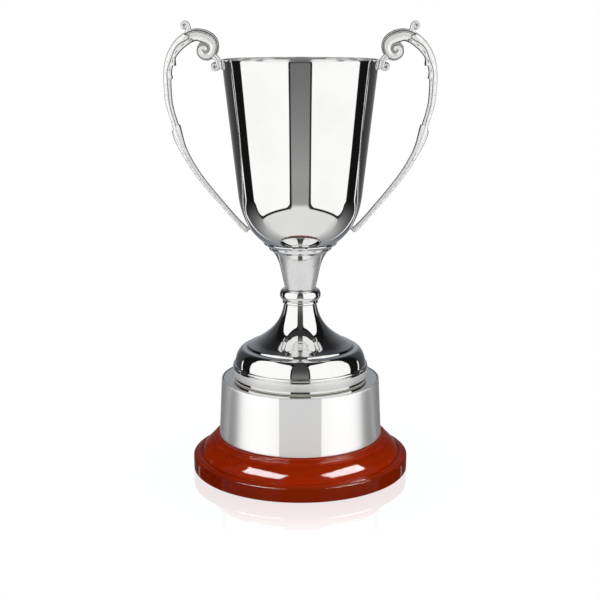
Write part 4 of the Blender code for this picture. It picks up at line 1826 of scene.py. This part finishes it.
    def build(self, side: Side) -> None:
        """Makes one handle as a single casting.

        Args:
            side: Side of the cup that the handle stands on.
        """
        path, halves = self.path()
        bud = (self.eye[0] + 0.1, self.eye[1] + 0.2)
        casting = merged([
            strap(path, halves, 2.3, 52, self.carve),
            self.button(self.eye, 5.9, 2.6, 4.0, 0.50),
            self.button(bud, 1.35, 4.1, 2.0, 1.0),
            self.button(self.finial_eye(), 2.6, 1.7, 3.0, 0.40),
            self.button(self.scroll_eye, 2.8, 1.9, 3.0, 0.40),
            self.finial(), self.lower_scroll(), self.neck(), self.pad()])
        if side is Side.LEFT:
            casting = casting.mirrored()
        place(f"{side.value}_scroll_handle", casting, CastSilver(),
              (f"{side.value}_handle",), sharp_above=70.0)


# ---------------------------------------------------------------- fixings


@dataclass
class Fixings:
    """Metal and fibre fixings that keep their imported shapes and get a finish."""

    def dress(self) -> None:
        """Gives each carried-over node its finish."""
        steel = TurnedMetal("zinc_steel", (0.62, 0.63, 0.64), (0.42, 0.42, 0.40))
        brass = TurnedMetal("brass", (0.72, 0.52, 0.20), (0.44, 0.30, 0.12), 0.22)
        fibre = PressedBoard("fibre", (0.36, 0.05, 0.03), (0.22, 0.03, 0.02))
        chosen = {"bowl_boss": brass}
        for node in ("tie_rod", "base_washer", "spring_washer", "base_nut"):
            chosen[node] = steel
        for side in Side:
            for height in ("upper", "lower"):
                chosen[f"{side.value}_{height}_screw"] = steel
                chosen[f"{side.value}_{height}_washer"] = fibre
        for node, finish in chosen.items():
            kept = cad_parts[node]
            material = finish.material()
            for held in kept.material_slots:
                held.material = material
            LOG.info("%s: kept, finish %s", node, finish.name)


# ---------------------------------------------------------------- studio


def rounded_box(graph: Graph, across: object, up: object, sides: tuple,
                corner: float) -> bpy.types.NodeSocket:
    """Signed distance to a rounded box, negative inside it.

    With d the distances beyond the sides of the box shrunk by the corner radius, it is
    length(max(d, 0)) + min(max(d), 0) - corner radius.

    Args:
        graph: Graph that the nodes go into.
        across: Sideways place of the point.
        up: Upright place of the point.
        sides: Left, right, low and high side of the box.
        corner: Radius of the corners.

    Returns:
        The distance.
    """
    left, right, low, high = sides
    inset_x = graph.most(graph.minus(graph.plus(left, corner), across),
                         graph.minus(across, graph.minus(right, corner)))
    inset_y = graph.most(graph.minus(graph.plus(low, corner), up),
                         graph.minus(up, graph.minus(high, corner)))
    out_x = graph.most(inset_x, 0.0)
    out_y = graph.most(inset_y, 0.0)
    length = graph.math("SQRT", graph.plus(graph.times(out_x, out_x),
                                           graph.times(out_y, out_y)))
    inside = graph.math("MINIMUM", graph.most(inset_x, inset_y), 0.0)
    return graph.minus(graph.plus(length, inside), corner)


@dataclass
class Surroundings:
    """Light by direction, as the polished metal mirrors it.

    Two tall white panels stand beside the camera with a dark gap between them. Outside
    them are dark flags with a white line, behind the cup a pale wall, above it a dim
    ceiling with one soft patch, and below it a pale table. Angles are in degrees: the
    azimuth is 0 towards the camera and grows towards +X, aside is the azimuth without
    its sign, and height is above the horizon. A level of 1 is white.

    Attributes:
        inner: Azimuth of the panels' inner edges.
        outer: Azimuth of the outer edges on the -X and on the +X side.
        skirt: Heights over which the outer edges step out, and how far.
        corner: Radius of the panels' corners.
        panel_sides: Heights of the panels' lower and upper sides at their inner edges.
        panel_lean: Gain of height for each degree aside, the height gained at aside 0,
            and how much of it the lower side falls.
        panel_edge: Distances inside and outside the panel between which it fades.
        panel_level: Level of the panels.
        border: Distances between which the dark border fades, and its level.
        gap_edge: Aside of the edges of the gap.
        gap_low: Height at the start of the gap's levels.
        gap_tall: Heights that those levels cover.
        gap_levels: Level of the gap from low to high.
        wall_levels: Level of the wall for a share of half a turn aside.
        wall_fade: Heights over which the wall darkens, and the levels it is scaled by.
        flag_fade: Heights over which the flags darken, and their levels.
        flag_end: Aside of the flags' far edge, how far out it steps, and its softness.
        line_half: Half width of the white line, and how much wider it gets.
        line_fade: Heights over which the white line ends, and its level.
        ceiling_edge: Heights over which the ceiling begins.
        ceiling_fade: Aside over which the ceiling's level changes, and its levels.
        patch_sides: Left, right, low and high side of the ceiling's soft patch.
        patch_corner: Radius of its corners.
        patch_level: Level of the patch.
        table_levels: Level of the table for a share of half a turn aside.
        beside: Aside over which the table's edge drops below the panels.
        beyond: Aside over which it drops behind the flags.
        table_edge: Height of its edge in the gap, below the panels and beyond them; the
            middle one is counted from the panels' lower side.
        table_soft: Softness of its edge at those three places.
        cool_edge: Aside over which the light turns from warm to cool.
        warm: Tint of the light near the camera.
        cool: Tint of the light behind the cup.
        fill: Extra share of light that matt surfaces get.
    """

    inner: float = 17.2
    outer: tuple = (93.0, 92.0)
    skirt: tuple = (-21.0, -14.0, 5.0)
    corner: float = 11.0
    panel_sides: tuple = (-28.8, 58.0)
    panel_lean: tuple = (0.12, -6.4, 0.95)
    panel_edge: tuple = (-0.6, 0.4)
    panel_level: float = 1.16
    border: tuple = (2.2, 3.0, 0.012)
    gap_edge: tuple = (14.5, 17.0)
    gap_low: float = -33.0
    gap_tall: float = 93.0
    gap_levels: tuple = (
        (0.0, 0.32), (0.086, 0.33), (0.14, 0.37), (0.161, 0.28), (0.183, 0.20),
        (0.205, 0.17), (0.355, 0.20), (0.46, 0.15), (0.62, 0.07), (1.0, 0.05))
    wall_levels: tuple = (
        (0.68, 0.030), (0.82, 0.085), (0.90, 0.22), (0.944, 0.36), (1.0, 0.37))
    wall_fade: tuple = (26.0, 48.0, 1.0, 0.35)
    flag_fade: tuple = (-27.0, -15.5, 0.08, 0.008)
    flag_end: tuple = (122.5, 18.0, 3.0)
    line_half: tuple = (2.0, 1.0)
    line_fade: tuple = (2.0, 9.0, 1.15, 0.0)
    ceiling_edge: tuple = (58.0, 66.0)
    ceiling_fade: tuple = (85.0, 120.0, 0.04, 0.12)
    patch_sides: tuple = (117.0, 173.0, 60.0, 80.0)
    patch_corner: float = 8.0
    patch_level: float = 0.9
    table_levels: tuple = (
        (0.0, 0.87), (0.42, 0.87), (0.56, 0.55), (0.70, 0.38), (1.0, 0.25))
    beside: tuple = (14.0, 19.0)
    beyond: tuple = (88.0, 100.0)
    table_edge: tuple = (-23.5, 2.6, -38.0)
    table_soft: tuple = (3.0, 0.5, 17.0)
    cool_edge: tuple = (125.0, 150.0)
    warm: tuple = (1.0, 1.0, 0.995)
    cool: tuple = (0.93, 0.98, 1.06)
    fill: float = 0.25

    def build(self) -> None:
        """Makes the world light; the camera itself sees white."""
        world = bpy.data.worlds.new("studio")
        world.use_nodes = True
        bpy.context.scene.world = world
        graph = Graph(world.node_tree)
        coords = graph.result("ShaderNodeTexCoord", {}, "Generated")
        x, y, z = graph.axes(coords)
        degrees = 180.0 / math.pi
        azimuth = graph.times(graph.math("ARCTAN2", x, graph.times(y, -1.0)), degrees)
        clipped = graph.most(graph.math("MINIMUM", z, 1.0), -1.0)
        height = graph.times(graph.math("ARCSINE", clipped), degrees)
        aside = graph.math("ABSOLUTE", azimuth)
        level = self.level(graph, azimuth, aside, height)
        tint = graph.blend(graph.step(aside, *self.cool_edge), self.warm, self.cool)
        colour = graph.blend(1.0, tint, level, "MULTIPLY")
        ray = graph.node("ShaderNodeLightPath").outputs
        graph.feed(world.node_tree.nodes["Background"], {
            "Color": graph.blend(ray["Is Camera Ray"], colour, (1.0, 1.0, 1.0)),
            "Strength": graph.scaled(ray["Is Diffuse Ray"], self.fill, 1.0)})

    def level(self, graph: Graph, azimuth: object, aside: object,
              height: object) -> bpy.types.NodeSocket:
        """Level of the light in one direction, from the farthest layer to the nearest.

        Args:
            graph: Graph that the nodes go into.
            azimuth: Azimuth of the direction.
            aside: Azimuth without its sign.
            height: Height above the horizon.

        Returns:
            The level.
        """
        bottom, top, reach = self.skirt
        above_skirt = graph.step(height, bottom, top)
        below_skirt = graph.minus(1.0, above_skirt)
        outer = graph.plus(graph.times(above_skirt, reach),
                           graph.step(azimuth, -5.0, 5.0, *self.outer))
        slope, start, fall = self.panel_lean
        lean = graph.scaled(aside, slope, start)
        low = graph.minus(self.panel_sides[0], graph.times(lean, fall))
        high = graph.plus(self.panel_sides[1], lean)
        panel = rounded_box(graph, aside, height, (self.inner, outer, low, high),
                            self.corner)
        lit = graph.step(panel, *self.panel_edge, 1.0, 0.0)
        border = graph.times(graph.step(panel, *self.border[:2], 1.0, 0.0),
                             graph.minus(1.0, lit))
        gap = graph.ramp(graph.over(graph.minus(height, self.gap_low), self.gap_tall),
                         self.gap_levels)
        in_gap = graph.step(aside, *self.gap_edge, 1.0, 0.0)

        level = graph.layer(self.flags(graph, aside, height, below_skirt), gap, in_gap)
        level = graph.layer(level, graph.step(aside, *self.ceiling_fade),
                            graph.step(height, *self.ceiling_edge))
        level = graph.layer(level, self.border[2], border)
        patch = rounded_box(graph, aside, height, self.patch_sides, self.patch_corner)
        level = graph.most(level, graph.times(graph.step(patch, -1.5, 1.5, 1.0, 0.0),
                                              self.patch_level))
        table = graph.ramp(graph.over(aside, 180.0), self.table_levels)
        level = graph.layer(level, table, self.on_table(graph, aside, height, low))
        return graph.layer(level, self.panel_level, lit)

    def flags(self, graph: Graph, aside: object, height: object,
              below_skirt: object) -> bpy.types.NodeSocket:
        """Dark flags, the white line at their far edge, and the wall behind the cup.

        Args:
            graph: Graph that the nodes go into.
            aside: Azimuth without its sign.
            height: Height above the horizon.
            below_skirt: 1 below the step of the panels' outer edges, 0 above it.

        Returns:
            The level.
        """
        wall = graph.times(graph.ramp(graph.over(aside, 180.0), self.wall_levels),
                           graph.step(height, *self.wall_fade))
        dim = graph.step(height, *self.flag_fade)
        edge, reach, soft = self.flag_end
        past_edge = graph.minus(aside, graph.scaled(below_skirt, reach, edge))
        sides = graph.layer(dim, wall, graph.step(past_edge, 0.0, soft))
        half, wider = self.line_half
        nearness = graph.over(graph.math("ABSOLUTE", past_edge),
                              graph.scaled(below_skirt, wider, half))
        white_line = graph.times(graph.step(nearness, 0.75, 1.05, 1.0, 0.0),
                                 graph.step(height, *self.line_fade))
        return graph.most(sides, white_line)

    def on_table(self, graph: Graph, aside: object, height: object,
                 low: object) -> bpy.types.NodeSocket:
        """1 on the table and 0 above its edge, eased across it.

        Args:
            graph: Graph that the nodes go into.
            aside: Azimuth without its sign.
            height: Height above the horizon.
            low: Height of the panels' lower side.

        Returns:
            Share of the table.
        """
        beside = graph.step(aside, *self.beside)
        beyond = graph.step(aside, *self.beyond)
        in_gap, below_panels, far = self.table_edge
        edge = graph.layer(graph.layer(
            in_gap, graph.minus(low, below_panels), beside), far, beyond)
        near_soft, panel_soft, far_soft = self.table_soft
        soft = graph.layer(graph.layer(near_soft, panel_soft, beside), far_soft, beyond)
        above = graph.over(graph.minus(height, edge), soft)
        return graph.step(above, -1.0, 1.0, 1.0, 0.0)


@dataclass
class Studio:
    """Camera, floor, surroundings and the lights of the wood and the band.

    Attributes:
        camera_place: Camera position, metres.
        pitch: Degrees that the camera looks down.
        lens: Focal length, millimetres.
        sensor: Width of the camera's sensor, millimetres.
        softboxes: Azimuths of the small softboxes that the wood catches.
        softbox_size: Width and height of each small softbox, metres.
        softbox_power: Power of each small softbox, watts.
        softbox_rise: Degrees above the horizon of each small softbox.
        side_cards: Azimuths of the side cards that the band catches.
        side_size: Width and height of each side card, metres.
        side_power: Power of each side card, watts.
        side_rise: Degrees above the horizon of each side card.
        light_distance: Distance of the softboxes and cards from the cup's foot.
        floor_reach: Half the floor's width, metres.
        mirror_share: How strongly the floor mirrors the plinth beside it.
        mirror_fade: Radii between which the floor's mirror fades out, metres.
        mirror_haze: Roughness of that mirror.
        mirrored_level: Level of the surroundings that the floor's glow makes up for.
    """

    camera_place: tuple = (-0.0002, -0.874, 0.3216)
    pitch: float = 12.7
    lens: float = 75.0
    sensor: float = 36.0
    softboxes: tuple = (-48.5, 61.0)
    softbox_size: tuple = (1.16, 0.66)
    softbox_power: float = 500.0
    softbox_rise: float = 41.0
    side_cards: tuple = (-108.0, 104.0)
    side_size: tuple = (0.75, 1.3)
    side_power: float = 3.4
    side_rise: float = 22.0
    light_distance: float = 1.5
    floor_reach: float = 8.0
    mirror_share: float = 0.62
    mirror_fade: tuple = (0.078, 0.150)
    mirror_haze: float = 0.04
    mirrored_level: float = 0.36

    def camera(self) -> None:
        """Makes the camera and sets it as the scene's camera."""
        data = bpy.data.cameras.new("studio_camera")
        data.sensor_width = self.sensor
        data.lens = self.lens
        data.clip_start = 0.01
        data.clip_end = 50.0
        camera = bpy.data.objects.new("studio_camera", data)
        camera.location = self.camera_place
        camera.rotation_euler = (math.radians(90.0 - self.pitch), 0.0, 0.0)
        bpy.context.scene.collection.objects.link(camera)
        bpy.context.scene.camera = camera

    def linked_light(self, receiver: str, azimuth: float, rise: float,
                     size: tuple, power: float) -> None:
        """Rectangular light that only one piece catches, in its gloss alone.

        Args:
            receiver: Name of the piece's object.
            azimuth: Degrees round the cup from the camera's side.
            rise: Degrees above the horizon.
            size: Width and height, metres.
            power: Watts.
        """
        receivers = bpy.data.collections.new(f"{receiver}_receivers")
        receivers.objects.link(bpy.data.objects[receiver])
        data = bpy.data.lights.new(f"{receiver}_light", "AREA")
        data.shape = "RECTANGLE"
        data.size, data.size_y = size
        data.energy = power
        light = bpy.data.objects.new(f"{receiver}_light", data)
        turn, up = math.radians(azimuth), math.radians(rise)
        away = Vector((math.sin(turn) * math.cos(up), -math.cos(turn) * math.cos(up),
                       math.sin(up)))
        light.location = away * self.light_distance
        light.rotation_euler = (-away).to_track_quat("-Z", "Y").to_euler()
        light.visible_diffuse = False
        bpy.context.scene.collection.objects.link(light)
        light.light_linking.receiver_collection = receivers

    def floor_material(self) -> bpy.types.Material:
        """Even white glow, mixed with a faint mirror close to the plinth.

        The glow is (1 - share * mirrored level) / (1 - share), so that glow and mirror
        add up to white where the mirror sees the surroundings behind the cup.

        Returns:
            The material.
        """
        material = bpy.data.materials.new("studio_floor")
        material.use_nodes = True
        graph = Graph(material.node_tree)
        graph.tree.nodes.remove(graph.tree.nodes["Principled BSDF"])
        radius = graph.result("ShaderNodeVectorMath", {0: graph.own_place()}, "Value",
                              operation="LENGTH")
        near = graph.step(radius, *self.mirror_fade, 1.0, 0.0)
        share = graph.times(near, self.mirror_share)
        glow = graph.result("ShaderNodeEmission", {"Strength": graph.over(
            graph.scaled(share, -self.mirrored_level, 1.0), graph.minus(1.0, share))})
        mirror = graph.result("ShaderNodeBsdfGlossy", {
            "Color": (1.0, 1.0, 1.0), "Roughness": self.mirror_haze})
        mix = graph.result("ShaderNodeMixShader", {0: share, 1: glow, 2: mirror})
        graph.feed(graph.tree.nodes["Material Output"], {"Surface": mix})
        return material

    def floor(self) -> None:
        """Pale floor that only glows to the camera and mirrors the base faintly."""
        reach = self.floor_reach
        mesh = bpy.data.meshes.new("studio_floor")
        mesh.from_pydata([(-reach, -reach, 0.0), (reach, -reach, 0.0),
                          (reach, reach, 0.0), (-reach, reach, 0.0)], [], [(0, 1, 2, 3)])
        mesh.materials.append(self.floor_material())
        floor = bpy.data.objects.new("studio_floor", mesh)
        bpy.context.scene.collection.objects.link(floor)
        floor.visible_glossy = False
        floor.visible_diffuse = False

    def build(self) -> None:
        """Makes the camera, light and floor."""
        self.camera()
        Surroundings().build()
        for azimuth in self.softboxes:
            self.linked_light("turned_plinth", azimuth, self.softbox_rise,
                              self.softbox_size, self.softbox_power)
        for azimuth in self.side_cards:
            self.linked_light("metal_band", azimuth, self.side_rise, self.side_size,
                              self.side_power)
        self.floor()


def main() -> None:
    """Builds every assembly, the fixings' finishes and the studio."""
    logging.basicConfig(level=logging.INFO, format="%(name)s %(message)s")
    bpy.context.scene.view_settings.view_transform = "Standard"
    Bowl().build()
    Stem().build()
    Knop().build()
    Foot().build()
    Plinth().build()
    for side in Side:
        Handle().build(side)
    Fixings().dress()
    Studio().build()


if __name__ == "__main__":
    main()
